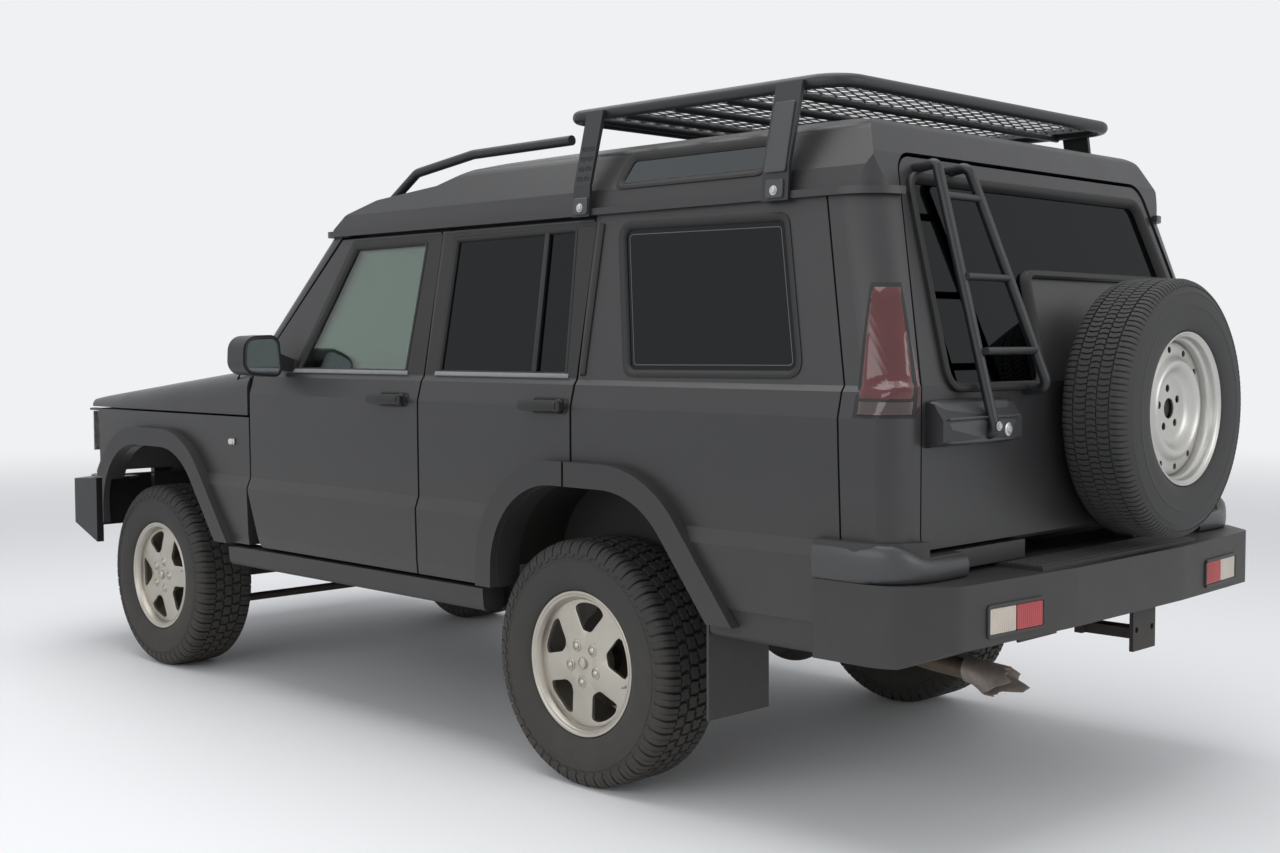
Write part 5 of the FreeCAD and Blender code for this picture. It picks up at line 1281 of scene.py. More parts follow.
def bolster(turn):
    rings = []
    for i, (x, y) in enumerate(BOLSTER_LINE):
        before, after = (Vector(BOLSTER_LINE[k]) for k in (max(0, i - 1), min(len(BOLSTER_LINE) - 1, i + 1)))
        along = (after - before).normalized()
        out = Vector((along.y, -along.x))
        if out.dot(Vector((x + 1000, y - 700))) < 0:
            out = -out
        rise = min(1.0, max(0.0, (y - LOW_UNDER) / (FULL_FROM - LOW_UNDER)))
        tall = LOW_SHARE + (1 - LOW_SHARE) * rise * rise * (3 - 2 * rise)
        rings.append([at(x + out.x * deep, turn * (y + out.y * deep), BOLSTER_FOOT + (z - BOLSTER_FOOT) * tall)
                      for deep, z in BOLSTER_SECTION])
    return loops("bolster", rings, 50)


for side, turn in SIDES:
    piece("corner_bolster_" + side, bolster(turn), "bolster", "body", "trim_plastic")
ribs = [loops("rib", [[at(-1150 - k * STEP_PITCH + a, y, z) for a, z in STEP_SECTION]
                      for y in (-STEP_REACH, 0, STEP_REACH)]) for k in range(STEP_RIBS)]
piece("bumper_step_ribs", joined("step_ribs", ribs), "moulding", "body", "trim_plastic")
print("bolsters:", len(SIDES), "step ribs:", STEP_RIBS)

# %% [markdown]
# ## Expanded metal on the rack
# The rack's floor is expanded metal: sheet that is slit and pulled until the slits open into diamonds. One cell is
# two short bent bars. Geometry Nodes copies that cell over a grid of points, so the pitch is a number that can be
# changed, and not some thousands of bars placed by hand. A folded edge frames the sheet.

# %% Expanded metal on the rack
PITCH_X, PITCH_Y = 0.030, 0.066  # metres
STRAND_THICK, STRAND_TALL, STRAND_LAP = 0.0021, 0.0013, 0.0006
EDGE_SECTION = [(0.5, -1.6), (0.5, 1.6), (17, 1.6), (17, -1.6)]


def grid_tree():
    """Blocks laid over a floor, in Along rows and Across columns."""
    tree, given = tree_with("blocks_over_a_floor", Block="Object", Along="Int", Across="Int", Pitch_x="Float",
                            Pitch_y="Float", Finish="Material")
    sizes = []
    for count, pitch in (("Along", "Pitch x"), ("Across", "Pitch y")):
        gaps = add(tree, "ShaderNodeMath", {0: given[count], 1: 1.0}, operation="SUBTRACT")
        sizes.append(add(tree, "ShaderNodeMath", {0: given[pitch], 1: gaps}, operation="MULTIPLY"))
    grid = add(tree, "GeometryNodeMeshGrid", {"Size X": sizes[0], "Size Y": sizes[1],
                                              "Vertices X": given["Along"], "Vertices Y": given["Across"]})
    return blocks_on(tree, given, grid, (0.0, 0.0, 0.0))


def cell():
    """One cell's two strands: a lozenge split at its knuckles, one strand a hair above the other."""
    bars = []
    for way in (1, -1):
        line = [(0.0, -1.0), (way * 0.12, -0.80), (way, -0.12), (way, 0.12), (way * 0.12, 0.80), (0.0, 1.0)]
        bars.append(loops("bar", [[Vector((x * PITCH_X / 2 + a * STRAND_THICK, y * PITCH_Y / 2,
                                           b * STRAND_TALL + STRAND_LAP * way))
                                   for a, b in ((-1, -1), (1, -1), (1, 1), (-1, 1))] for x, y in line], 30))
    return joined("cell", bars, 30)


floor_low, floor_high = (Vector(p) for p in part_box("roof_rack_mesh"))
floor_middle, floor_size = (floor_low + floor_high) / 2, floor_high - floor_low
along, across = int(floor_size.x / PITCH_X) - 1, int(floor_size.y / PITCH_Y) - 1
sheet = grown("rack_floor", grid_tree(), cell(), along=along, across=across, pitch_x=PITCH_X, pitch_y=PITCH_Y,
              finish=finishes["mesh_steel"])
sheet.transform(Matrix.Translation(floor_middle))
edge_x, edge_y = floor_size.x / 2 / MM, floor_size.y / 2 / MM
outline = [(-edge_x, -edge_y, 60), (edge_x, -edge_y, 45), (edge_x, edge_y, 45), (-edge_x, edge_y, 60)]
edge = strip("sheet_edge", outline, EDGE_SECTION, lambda u, v, up: floor_middle + Vector((u, v, up)) * MM)
piece("rack_floor_mesh", joined("rack_floor", [sheet, edge], 30), "mesh_steel", "body", "powder_coat",
      ["roof_rack_mesh"])
print("strands:", along * across * 2, "faces:", len(sheet.polygons))

# %% [markdown]
# ## Bolts and rack legs
# The legs are clamped to the gutter with a bright bolt through a pad, and have slots to set their height. The slots
# are not cut: a near-black rim and floor plate paint their shade. A bolt is a hexagon turned on the lathe with six
# sides on a round washer, and both stand square on the plate, wherever it faces.

# %% Bolts and rack legs
PAD_Z = 1712
SLOT_HALF_U, SLOT_HALF_V, SLOT_APART = 9, 4, 15
SLOT_SECTION = [(0, 0.1), (0, 1.4), (-3, 0.9), (-3, 0.1)]
LEG_COVER = [(-712, 1760, 8), (-638, 1760, 8), (-640, 1950, 8), (-708, 1950, 8)]


def bolt(radius, washer):
    head = lathe("head", [(0.02, 6.0), (radius * 0.85, 6.0), (radius, 5.0), (radius, 1.2), (0.02, 1.2)], 6, 25)
    ring = lathe("washer", [(0.02, 1.4), (washer - 0.6, 1.4), (washer, 0.9), (washer, -0.4), (0.02, -0.4)], 28, 40)
    return joined("bolt", [head, ring], 30)


def standing(place, normal):
    """The matrix that stands a lathed piece on a surface."""
    return Matrix.Translation(place) @ normal.to_track_quat("Y", "Z").to_matrix().to_4x4()


def standing_on(rule, u, v, up):
    """The same on a plane's rule, some millimetres up."""
    return standing(rule(u, v, up), (rule(u, v, 10) - rule(u, v, 0)).normalized())


rack_tree = skin("roof_rack")
for side, _ in SIDES:
    bolts, pads, slots = [], [], []
    for x in (75, -675):
        plane = flat_on(rack_tree, side, [(x - 10, PAD_Z - 8), (x + 10, PAD_Z - 8), (x, PAD_Z + 24)])
        pads.append(plate("pad", oblong(x - 30, x + 30, PAD_Z - 20, PAD_Z + 30, 10), plane, 0.2, 6.0, 2.0))
        bolts.append(placed(bolt(9.0, 13.0), standing_on(plane, x, PAD_Z, 6.4)))
    plane = flat_on(rack_tree, side, [(65, 1800), (85, 1800), (75, 1900)])
    for z in (1800, 1830, 1860, 1890):
        for x in (75 - SLOT_APART, 75 + SLOT_APART):
            # painted shade: each slot is a near-black rim and a thin near-black plate, not a hole
            slot = oblong(x - SLOT_HALF_U, x + SLOT_HALF_U, z - SLOT_HALF_V, z + SLOT_HALF_V, 4)
            slots.append(strip("slot", slot, SLOT_SECTION, plane, 4))
            slots.append(plate("slot_floor", slot, plane, 0.05, 0.3, 0.1, 4))
    plane = flat_on(rack_tree, side, [(-700, 1800), (-650, 1800), (-675, 1900)])
    pads.append(plate("leg_cover", LEG_COVER, plane, 0.2, 5.0, 2.0))
    piece("rack_leg_pads_" + side, joined("pads", pads), "bolster", "body", "powder_coat")
    # the slots take the near-black seal finish as painted shade
    piece("rack_leg_slots_" + side, joined("slots", slots), "seal", "body", "powder_coat")
    piece("rack_leg_bolts_" + side, joined("bolts", bolts), "zinc", "body", "steel_rim")
print("rack legs dressed:", len(pads), "pads and", len(slots) // 2, "slots a side")

# %% [markdown]
# ## Door grips
# A hand goes behind the grip's bar into a recess, and the key turns in a round boss at its rear end. The bar is
# thickest in its middle. Its section, flat towards the door and round outside, is carried along and swells as it
# goes.

# %% Door grips
GRIP_Z, GRIP_PLANE = 1128, 903  # the grip's height, and the y its bar is measured from
GRIP_LENGTH, GRIP_STEPS = 168, 12
GRIP_OUT, OUT_SWELL, GRIP_TALL, TALL_SWELL = 36.5, 4.5, 13.6, 2.6
RECESS_SECTION = [(0, 0.2), (0, 1.8), (4, 2.4), (8, 0.6), (8, 0.2)]
BOSS = [(0.02, 9), (17, 9), (20, 7.5), (22, 3.0), (22, -2), (0.02, -2)]
KEY = [(0.02, 11.4), (6.2, 11.4), (7.4, 10.2), (7.4, 8), (0.02, 8)]
BAR_SECTION = ((-18, -0.8), (-4, -1.02), (0.5, -0.6), (1.6, 0.0), (0.5, 0.6), (-4, 1.02), (-18, 0.8))


def door_grip(name, side, turn, x):
    tree = skin(name)
    recess = oblong(x - 100, x + 62, GRIP_Z - 26, GRIP_Z + 24, 22)
    here = standing(*touch(tree, side, x - 62, GRIP_Z - 2))
    bar = []
    for i in range(GRIP_STEPS + 1):
        t = i / GRIP_STEPS
        swell = math.sin(math.pi * t)
        out, tall = GRIP_OUT + OUT_SWELL * swell ** 0.6, GRIP_TALL + TALL_SWELL * swell ** 0.5
        bar.append([at(x - GRIP_LENGTH / 2 + GRIP_LENGTH * t, turn * (GRIP_PLANE + out + a), GRIP_Z + b * tall)
                    for a, b in BAR_SECTION])
    parts = [strip("recess", recess, RECESS_SECTION, follows(tree, side)), loops("bar", bar, 50),
             placed(lathe("boss", BOSS, 40, 40), here), placed(lathe("key", KEY, 24, 40), here)]
    piece(name + "_grip", joined("grip", parts), "frame_black", owner[name], "trim_plastic")


for side, turn in SIDES:
    for door, x in (("door_front", 905), ("door_rear", 130)):
        door_grip(door + "_" + side, side, turn, x)
print("grips:", made("_grip"))

# %% [markdown]
# ## Seat cushions
# A seat is foam in a sewn cover, so its edges are soft and its faces crowned. Each cushion starts as a grid wrapped
# round a box with rounded edges. The panels swell where nothing holds them, and dip along the seams, where the
# thread pulls the cover down to the foam. A cloth simulation would do the same, but on a plain cushion a rule for
# every point gives the same look at once and the same result each time.

# %% Seat cushions
MOST_ROUNDING = 0.055  # metres; a thin cushion has less
SEAM_WIDE, CHANNEL_DEEP, BOLSTER_SEAM_DEEP, GIRTH_DEEP = 0.007, 0.010, 0.012, 0.004
BOLSTER_SEAM, BOLSTER_FROM = 0.58, 0.55  # where the side bolsters begin, as shares of the half width


def groove(distance, wide=SEAM_WIDE):
    """How far a seam's dip is felt at this distance from the thread, from 0 to 1."""
    return math.exp(-(distance / wide) ** 2)


def cushion_point(corner, size, crown, channels, bolsters):
    """Where a point of the unit cube (each coordinate from -1 to 1) lies on the cushion."""
    half = Vector(size) / 2
    soft = min(size[2] * 0.45, MOST_ROUNDING)
    x, y, z = corner
    point = Vector((x * half.x, y * half.y, z * half.z))
    core = Vector([max(-h + soft, min(h - soft, c)) for c, h in zip(point, half)])
    away = point - core
    if away.length > 1e-9:
        point = core + away.normalized() * soft
    if abs(z) > 0.2:
        point.z += math.copysign(crown[1] if z > 0 else crown[0] * 0.3, z) * (1 - x * x) * (1 - y * y)
    point.x += crown[0] * x * (1 - y * y) * (1 - z * z) * 0.5
    point.y += crown[0] * y * (1 - x * x) * (1 - z * z) * 0.5
    if z > 0.2:
        point.z += bolsters * max(0.0, (abs(y) - BOLSTER_FROM) / (1 - BOLSTER_FROM)) * (1 - abs(y) ** 8)
        if abs(y) < 0.60 or not bolsters:
            point.z -= CHANNEL_DEEP * sum(groove((x - (place * 2 - 1)) * half.x) for place in channels)
        if bolsters:
            point.z -= BOLSTER_SEAM_DEEP * groove((abs(y) - BOLSTER_SEAM) * half.y)
    if max(abs(x), abs(y)) > 0.995:  # the seam round the cushion's waist
        point -= Vector((x, y, 0)).normalized() * GIRTH_DEEP * groove(z * half.z, 0.006)
    return point


def cushion(name, centre, size, tilt, crown, channels=(), bolsters=0.0, detail=20):
    """A padded block: size is (long, wide, thick) metres, channels are the seams' places along it, 0 to 1."""
    work = bmesh.new()
    bmesh.ops.create_cube(work, size=2.0)
    bmesh.ops.subdivide_edges(work, edges=work.edges, cuts=detail, use_grid_fill=True)
    for v in work.verts:
        v.co = cushion_point(v.co, size, crown, channels, bolsters)
    mesh = bpy.data.meshes.new(name)
    work.to_mesh(mesh)
    work.free()
    mesh.transform(Matrix.Translation(centre) @ Matrix.Rotation(tilt, 4, "Y"))
    return settle(mesh, 60)


def padded(name, mesh, replaces=()):
    thing = piece(name, mesh, "cloth", "body", "seat_fabric", replaces)
    return thing


print("a seam is felt", round(groove(0.005), 2), "at 5 mm from its thread")

# %% [markdown]
# ## Front seats
# Each front seat has a cushion and a backrest with side bolsters that hold the body in bends, and a head rest on
# two steel posts. A plastic plinth on two rails stands between the cushion and the floor. One function makes a
# seat, because the left and the right one differ only in where they stand.

# %% Front seats
RECLINE = math.radians(68)  # the backrest, turned up from lying flat
PLINTH = [(1060, 641, 10), (1440, 641, 10), (1425, 742, 20), (1075, 742, 20)]
PLINTH_SECTION = ((6, -165), (0, -159), (0, 159), (6, 165))
RAIL = ((-14, 641), (14, 641), (14, 660), (-14, 660))


def front_seat(side, y, taken):
    seat = cushion("cushion", at(1245, y, 795), (0.50, 0.44, 0.105), math.radians(-3), (0.006, 0.014), (0.32, 0.66),
                   0.020, 26)
    back = cushion("backrest", at(985, y, 1075), (0.50, 0.43, 0.105), RECLINE, (0.006, 0.014), (0.3, 0.52, 0.74),
                   0.022, 26)
    head = cushion("head_rest", at(842, y, 1404), (0.150, 0.25, 0.085), RECLINE, (0.005, 0.012), detail=16)
    padded("front_cushion_" + side, seat, taken)
    padded("front_backrest_" + side, back)
    padded("front_head_rest_" + side, head)
    posts = [rod("post", [at(880, y + off, 1290), at(858, y + off, 1345), at(846, y + off, 1385)], 0.006)
             for off in (55, -55)]
    piece("head_rest_posts_" + side, joined("posts", posts), "zinc", "body", "steel_rim")
    plinth = solid("plinth", PLINTH, PLINTH_SECTION, lambda u, v, up: at(u, y + up, v), 5)
    rails = [loops("rail", [[at(x, y + off + a, z) for a, z in RAIL] for x in (1035, 1455)])
             for off in (120, -120)]
    piece("front_seat_base_" + side, joined("base", [plinth] + rails), "cabin_plastic", "body", "cabin_plastic")


front_seat("left", 380, ["front_seats"])
front_seat("right", -380, ())
print("front seats:", made("front_seat_base"))

# %% [markdown]
# ## Rear bench
# The rear bench has three flat places on one tube frame, because its backs fold one by one. Three narrow cushions
# and three narrow backs with a gap between them say that better than one wide block with lines drawn on it.

# %% Rear bench
REAR_PLACES = (("left", 402), ("middle", 0), ("right", -402))
REAR_WIDE = 0.385
for name, y in REAR_PLACES:
    seat = cushion("cushion", at(262, y, 912), (0.44, REAR_WIDE, 0.085), math.radians(-2), (0.006, 0.012),
                   (0.35, 0.68))
    back = cushion("backrest", at(-18, y, 1150), (0.42, REAR_WIDE, 0.09), RECLINE, (0.006, 0.012), (0.35, 0.7))
    padded("rear_cushion_" + name, seat, ["rear_seat"] if name == "left" else ())
    padded("rear_backrest_" + name, back)
tubes = [rod("bar", [at(60, y, 800), at(60, y, 862), at(370, y, 862), at(370, y, 800)], 0.014)
         for y in (480, 0, -480)]
tubes += [rod("bar", [at(60, y, 862), at(42, y, 960), at(-58, y, 1250)], 0.012) for _, y in REAR_PLACES]
piece("rear_seat_frame", joined("frame", tubes), "powder_coat", "body", "powder_coat")
print("cushions:", made("cushion"), "backrests:", made("backrest"))

# %% [markdown]
# ## Headlamps
# A headlamp is a clear cover over a bright bowl with a bulb in it, beside the corner lamp's smaller bowl. The bowls
# are turned on the lathe and stand on the frame's own lamp, and a rubber rim with a soft section closes the edge.

# %% Headlamps
BULB = [(0.02, 7.5), (5, 7.0), (8.0, 5.2), (9.0, 2.0), (9.0, 0.6), (0.02, 0.6)]
BOWLS = ((668, 62), (758, 26))  # (how far from the middle, radius)
BOWL_Z = 892
LAMP_EDGE = ((575, 775, 14), (792, 775, 20), (792, 1006, 20), (575, 1006, 14))
LAMP_SPOTS = ((640, 860), (740, 860), (690, 930))
lamp_tree = skin("front_lamps")


def bowl(radius):
    return lathe("bowl", [(radius, 8.0), (radius - 3, 9.0), (radius - 6, 7.0), (radius * 0.6, 2.8),
                          (radius * 0.25, 1.2), (radius * 0.2, 0.4), (radius, 0.4)], 56, 40)


for side, turn in SIDES:
    heres = [Matrix.Translation(touch(lamp_tree, "nose", turn * u, BOWL_Z)[0]) @ NOSEWARDS for u, _ in BOWLS]
    bowls = [placed(bowl(radius), here) for here, (_, radius) in zip(heres, BOWLS)]
    bulbs = [placed(lathe("bulb", BULB, 24, 40), here) for here in heres]
    nose = flat_on(lamp_tree, "nose", [(turn * u, v) for u, v in LAMP_SPOTS])
    rim = strip("rim", [(turn * u, v, radius) for u, v, radius in LAMP_EDGE],
                [(0, 0.2), (0, 5), (3, 7.5), (9, 5), (9, 0.2)], nose, 5)
    wall = flat_on(lamp_tree, side, [(1890, 938), (1915, 938), (1902, 952)])
    repeater = plate("repeater", oblong(1887, 1918, 934, 954, 8), wall, 0.2, 3.2, 1.6)
    piece("headlamp_bowls_" + side, joined("bowls", bowls), "chrome", "body", "clear_lens")
    piece("headlamp_bulbs_" + side, joined("bulbs", bulbs), "white_lamp", "body", "clear_lens")
    piece("headlamp_rim_" + side, rim, "seal", "body", "black_plastic")
    piece("repeater_lens_" + side, repeater, "white_lamp", "body", "clear_lens")
print("headlamps:", len(bowls) * len(SIDES), "bowls")

# %% [markdown]
# ## Grille
# The grille's bars get rounded caps, since a moulder rounds every edge that the air meets, and plain posts stand
# behind them. Each cap is a section carried across the nose through three points that rays find on the bar.

# %% Grille
GRILLE_HALF, GRILLE_LOW, GRILLE_HIGH = 543, 764, 1018
BAR_HEIGHTS, BAR_ENDS = range(800, 1000, 42), (-529, 0, 529)
POST_PLACES, POST_X = range(-400, 401, 200), 3074
CAP_SECTION = ((-1, -8.4), (2.5, -7.6), (5.0, -4.0), (5.8, 0), (5.0, 4.0), (2.5, 7.6), (-1, 8.4))
POST_SECTION = ((-6, -4), (36, -3), (38, 0), (36, 3), (-6, 4))
SURROUND_SECTION = [(-8, 0.2), (-7, 4), (-3, 6), (3, 6), (7, 4), (8, 0.2)]
grille_tree = skin("grille")
bars = []
for z in BAR_HEIGHTS:
    rings = []
    for y in BAR_ENDS:  # the ray is aimed just inside the bar's end
        spot = touch(grille_tree, "nose", y * 0.99, z + 8)[0] + Vector((0, y * 0.01 * MM, 0))
        rings.append([spot + Vector((a, 0, b)) * MM for a, b in CAP_SECTION])
    bars.append(loops("cap", rings, 60))
for y in POST_PLACES:
    bars.append(loops("post", [[at(POST_X + a, y + b, z) for a, b in POST_SECTION] for z in (790, 990)]))
nose_x = touch(grille_tree, "nose", 0, GRILLE_LOW)[0].x
surround = strip("surround", oblong(-GRILLE_HALF, GRILLE_HALF, GRILLE_LOW, GRILLE_HIGH, 14), SURROUND_SECTION,
                 lambda u, v, up: Vector((nose_x + up * MM, u * MM, v * MM)))
piece("grille_bars", joined("bars", bars), "bolster", "body", "black_plastic")
piece("grille_surround", surround, "bolster", "body", "black_plastic")
print("grille:", len(bars), "bars and posts")

# %% [markdown]
# ## Windscreen seal and wipers
# The screen is one sloping plane, so three rays give it, and its seal, the wipers' arms and their blades are all
# drawn flat on it. A blade is a thin rubber lip under a stiffer back, and each arm turns on a pivot at its foot.

# %% Windscreen seal and wipers
SCREEN = [(-700, 1238, 60), (700, 1238, 60), (640, 1655, 60), (-640, 1655, 60)]
SCREEN_SEAL = [(-9, 8.6), (-9, 10.5), (-3, 12.5), (6, 10.5), (14, 3.0), (16, 0.5), (0.8, 0.5), (0.8, 8.6)]
WIPERS = (((-420, 1232), (-30, 1300)), ((150, 1232), (560, 1300)))  # each foot and tip
BLADE_BACK, BLADE_AHEAD = 210, 190  # how far the blade reaches from the arm's tip
BLADE = ((2.0, 9.0, 2.0), (9.0, 14.0, 5.0))  # the lip and the back: from and to in height, half width
PIVOT = [(0.02, 18), (12, 17), (16, 10), (17, 0), (0.02, 0)]
screen = flat_on(skin("fixed_glass"), "nose", [(-500, 1300), (500, 1300), (0, 1600)])


def wiper(foot, tip):
    way = (tip - foot).normalized()
    side_way = Vector((-way.y, way.x))
    start, end = tip - way * BLADE_BACK + Vector((0, 8)), tip + way * BLADE_AHEAD + Vector((0, -6))
    arm = [screen(*(foot + (tip - foot) * t), 22 - 8 * t) for t in (0, 0.3, 0.7, 1)]
    parts = [rod("arm", arm, 0.0055, 8, (0, 0, 1)),
             placed(lathe("pivot", PIVOT, 24, 40), standing_on(screen, foot.x, foot.y, 8))]
    for low, high, half in BLADE:
        rings = []
        for t in (0, 0.25, 0.5, 0.75, 1):
            p = start + (end - start) * t
            rings.append([screen(*(p + side_way * half * k), up)
                          for k, up in ((-1, low), (1, low), (0.6, high), (-0.6, high))])
        parts.append(loops("blade", rings))
    return parts


piece("screen_seal", strip("seal", SCREEN, SCREEN_SEAL, screen, 8), "seal", "body", "black_plastic")
wipers = [part for foot, tip in WIPERS for part in wiper(Vector(foot), Vector(tip))]
piece("wipers", joined("wipers", wipers), "black_plastic", "body", "black_plastic")
print("wipers:", len(WIPERS))

# %% [markdown]
# ## Mirrors
# The mirror's glass looks back along the car, so it lies on the housing's rear face inside a thin rim. It rides on
# the front door, as the housing does, and swings out with it.

# %% Mirrors
MIRROR = ((938, 1203, 26), (1076, 1214, 40), (1070, 1326, 42), (950, 1332, 34))
MIRROR_RIM = [(0, 0.2), (0, 4.5), (4, 6.0), (7, 3.2), (7, 0.2)]
HOUSING_X = 1515


def back_face(u, v, up):
    return at(HOUSING_X - up, u, v)


for side, turn in SIDES:
    door = owner["door_front_" + side]
    glass = [(turn * u, v, radius) for u, v, radius in MIRROR]
    piece("mirror_glass_" + side, plate("glass", glass, back_face, 0.3, 3.0, 1.4), "mirror_glass", door,
          "clear_glass")
    piece("mirror_rim_" + side, strip("rim", inset(glass, -6), MIRROR_RIM, back_face), "black_plastic", door,
          "black_plastic")
print("mirrors ride on", owner["door_front_left"], "and", owner["door_front_right"])

# %% [markdown]
# ## Steering wheel
# The steering wheel is a padded rim with two thumb rests and a seam on its outside, three flat spokes, and a plain
# pad over its hub. A torus would have an even thickness, so the rim is made of rings whose radius swells at the
# thumbs. It is built lying flat and then stood on its column's axis.

# %% Steering wheel
WHEEL_RADIUS, GRIP_RADIUS = 185, 14.6
THUMBS, THUMB_SWELL = (60, 300), 2.2
RIM_STEPS, RIM_SIDES, SEAM_SUNK = 96, 14, 0.7
SPOKE_STATIONS = ((50, 34, 8), (100, 22, 4), (150, 19, 1), (178, 22, 0))  # radius, half width, height
PAD = [(0.02, 33), (40, 32), (60, 27), (70, 18), (72, 6), (60, -6), (0.02, -6)]
COLUMN_WAY = Vector((-100, 0, 40)).normalized()


def wheel_rim():
    rings = []
    for i in range(RIM_STEPS):
        a = 2 * math.pi * i / RIM_STEPS
        thumb = sum(math.exp(-((math.degrees(a) - at_thumb + 180) % 360 - 180) ** 2 / 90) for at_thumb in THUMBS)
        ring = []
        for j in range(RIM_SIDES):
            b = 2 * math.pi * j / RIM_SIDES
            fat = GRIP_RADIUS + THUMB_SWELL * thumb * max(0.0, math.cos(b + math.pi)) - (SEAM_SUNK if j == 0 else 0)
            reach = WHEEL_RADIUS + fat * math.cos(b)
            ring.append(Vector((reach * math.sin(a), fat * math.sin(b), reach * math.cos(a))) * MM)
        rings.append(ring)
    return loops("wheel_rim", rings, 60, "joined")


def wheel_spoke(a):
    out, cross = Vector((math.sin(a), 0, math.cos(a))), Vector((math.cos(a), 0, -math.sin(a)))
    rings = [[(out * r + cross * c * wide + Vector((0, h, 0))) * MM
              for c, h in ((-1, y - 4), (1, y - 4), (0.85, y + 3), (-0.85, y + 3))] for r, wide, y in SPOKE_STATIONS]
    return loops("spoke", rings)


parts = [wheel_rim(), lathe("pad", PAD, 56, 45)] + [wheel_spoke(math.radians(a)) for a in (90, 270, 180)]
wheel = placed(joined("wheel", parts, 45), standing(at(1468, -365, 1113), COLUMN_WAY))
piece("steering_wheel_rim", wheel, "cabin_dark", owner["steering_wheel"], "cabin_plastic", ["steering_wheel"])
print("steering wheel faces:", len(wheel.polygons))

# %% [markdown]
# ## Instrument hood and vents
# A hood shades the dials, highest in front of the driver, and four vents have four vanes each. The hood is one
# section across the panel whose top rises and falls, and the vanes are thin slats, close enough for a loop.

# %% Instrument hood and vents
HOOD_STATIONS = ((-560, 0), (-520, 18), (-365, 30), (-210, 18), (-170, 0))  # (across, rise)
VENTS, VENT_HALF, VENT_Z, VANE_PITCH, VANE_SLOPE = (-650, -60, 80, 650), 48, 1092, 15, 0.18
VANE = ((-12, -2.4), (4, -2.4), (4, 2.4), (-12, 2.4))
parts = [loops("hood", [[at(x, y, z) for x, z in ((1560, 1165), (1600, 1200 + rise), (1700, 1206 + rise),
                                                 (1760, 1192))] for y, rise in HOOD_STATIONS])]
for middle in VENTS:
    for rise in (0, VANE_PITCH, 2 * VANE_PITCH, 3 * VANE_PITCH):
        parts.append(loops("vane", [[at(1583 + VANE_SLOPE * rise + a, y, VENT_Z + rise + b) for a, b in VANE]
                                    for y in (middle - VENT_HALF, middle + VENT_HALF)]))
piece("dash_hood_and_vents", joined("dash_parts", parts), "cabin_dark", "body", "cabin_plastic")
print("vanes:", len(parts) - 1)

# %% [markdown]
# ## Tailgate grip, lock and ladder bolt
# The grip's housing is a moulded box with a sloped top and a groove under its lip, and a bright lock barrel sits in
# it. Its section is carried across and shrinks at both ends, which rounds them. A bolt holds the ladder's foot.

# %% Tailgate grip, lock and ladder bolt
GRIP_STATIONS = ((404, -9), (412, -2), (440, 0), (580, 1.5), (720, 0), (748, -2), (756, -9))  # (across, growth)
GROOVE = ((-1184, 1120), (-1186, 1123), (-1184, 1126), (-1178, 1123))
LOCK = [(0.02, 9), (8, 9), (9, 7.5), (9.5, 6), (16, 6), (18, 4.5), (18.5, 0), (0.02, 0)]


def grip_section(grow):
    return ((-1133.5, 1052 - grow), (-1176 - grow, 1062 - grow), (-1179 - grow, 1112), (-1172 - grow, 1124 + grow),
            (-1152, 1158 + grow), (-1140, 1166 + grow), (-1133.5, 1168 + grow))


hood = loops("hood", [[at(x, y, z) for x, z in grip_section(grow)] for y, grow in GRIP_STATIONS], 50)
groove_bar = loops("groove", [[at(x, y, z) for x, z in GROOVE] for y in (420, 740)])
lock = placed(lathe("lock", LOCK, 36, 40), Matrix.Translation(at(-1178, 470, 1088)) @ TAILWARDS)
ladder_spot = touch(skin("tailgate_ladder"), "tail", 555, 1100)[0]
ladder_bolt = placed(bolt(8.0, 12.0), standing(ladder_spot, Vector((-1, 0, 0))))
piece("tailgate_grip_hood", joined("hood", [hood, groove_bar]), "bolster", gate, "trim_plastic")
piece("tailgate_lock", lock, "zinc", gate, "steel_rim")
piece("ladder_bolts", ladder_bolt, "zinc", gate, "steel_rim")
print("on the tailgate:", made("tailgate_"), "pieces")

# %% [markdown]
# ## Flap clamps
# Each mud flap hangs from a flat steel bar, and three bolts press the bar on the rubber.

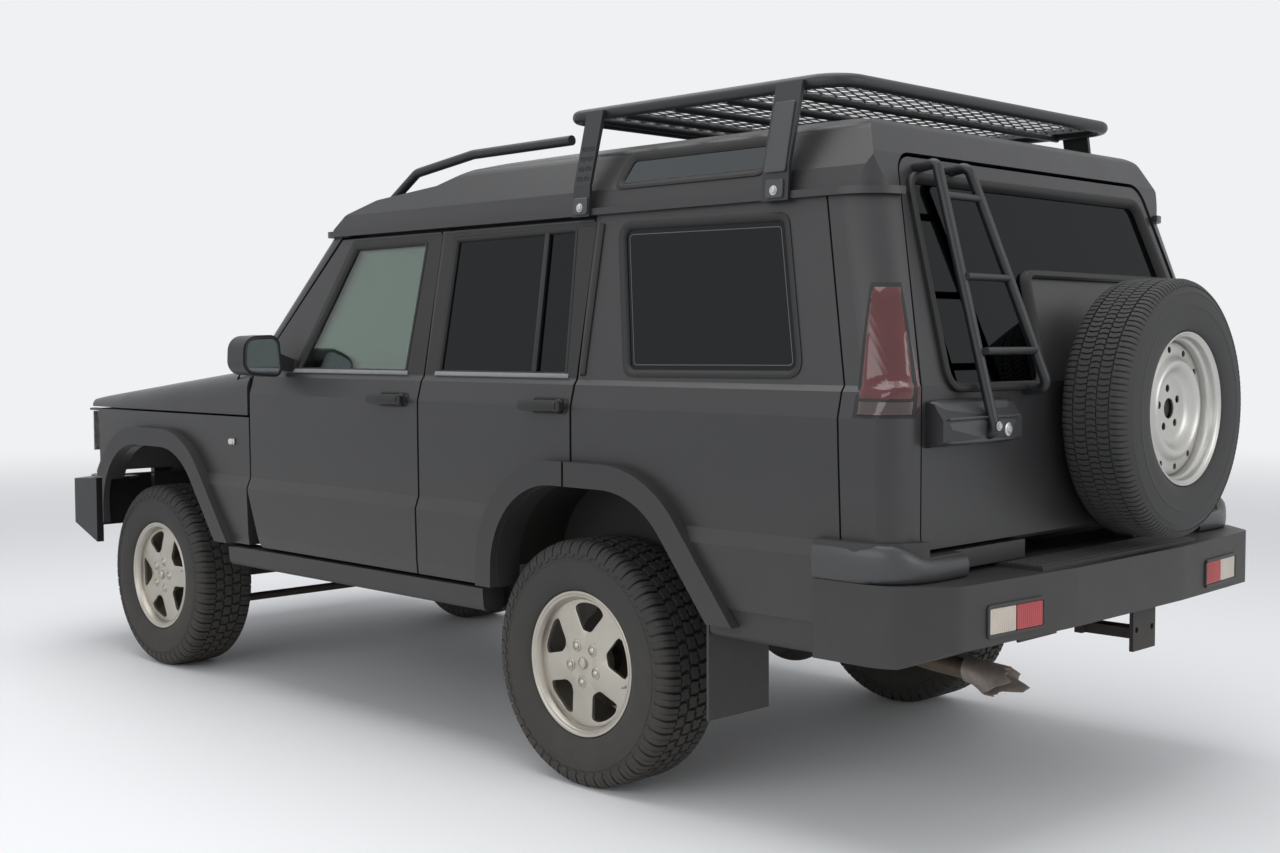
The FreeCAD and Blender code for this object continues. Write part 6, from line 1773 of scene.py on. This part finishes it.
# %% Flap clamps
CLAMP = ((-533, 566), (-541, 566), (-541, 602), (-533, 602))
for side, turn in SIDES:
    bar = loops("bar", [[at(x, turn * y, z) for x, z in CLAMP] for y in (662, 780, 898)])
    bolts = [placed(bolt(6, 9), Matrix.Translation(at(-541, turn * y, 584)) @ TAILWARDS) for y in (690, 780, 870)]
    piece("flap_clamp_" + side, joined("clamp", [bar] + bolts), "chassis", "body", "chassis_black")
print("clamp bolts:", len(bolts) * len(SIDES))

# %% [markdown]
# ## Torn tailpipe
# The tailpipe's end is torn open, so its rim wavers and one lip is bent down. Its mouth is measured on the frame's
# own pipe. A sleeve of rings starts there and grows ragged, flat and curled towards its end, and Solidify gives the
# steel its thickness. The waves are sums of sines and not random, so every run tears the same way.

# %% Torn tailpipe
TEAR_ROWS, TEAR_SIDES, TEAR_STEEL = 7, 40, 0.0022
MOUTH_DEPTH = 0.004  # metres of the pipe's end that count as its mouth
SLEEVE_FIT = 0.002
TEAR_WAVES = ((0.35, 2, 0.6), (0.14, 5, 1.0), (0.07, 11, 0.0))  # height, count round the pipe, shift
exhaust = nodes["exhaust"]
pipe_points = [exhaust.matrix_world @ v.co for v in exhaust.data.vertices]
end_x = min(p.x for p in pipe_points)
mouth = [p for p in pipe_points if p.x < end_x + MOUTH_DEPTH]
mouth_at = sum(mouth, Vector((0, 0, 0))) / len(mouth)
mouth_radius = max((p - mouth_at).length for p in mouth)


def tear_ring(t):
    """The sleeve at a share t of the way from the sound pipe (0) to its torn edge (1)."""
    ring = []
    for j in range(TEAR_SIDES):
        a = 2 * math.pi * j / TEAR_SIDES
        ragged = 1.0 + sum(high * math.sin(count * a + shift) for high, count, shift in TEAR_WAVES)
        radius = (mouth_radius + SLEEVE_FIT) * (1.0 + 0.25 * t * math.cos(2 * a)) * (1 + 0.16 * t)
        radius += 0.016 * t ** 2 * max(0.0, math.sin(a - 3.9))
        ring.append(mouth_at + Vector((0.035 - 0.105 * t * ragged, radius * math.cos(a) - 0.010 * t,
                                       radius * math.sin(a) - 0.014 * t)))
    return ring


torn = loops("torn", [tear_ring(i / TEAR_ROWS) for i in range(TEAR_ROWS + 1)], 60, "open")
torn = shaped(torn, ("SOLIDIFY", {"thickness": TEAR_STEEL, "offset": 1.0}))
piece("torn_tailpipe", settle(torn, 50), "torn_steel", "body", "exhaust_steel")
print("tailpipe radius", round(mouth_radius, 4))
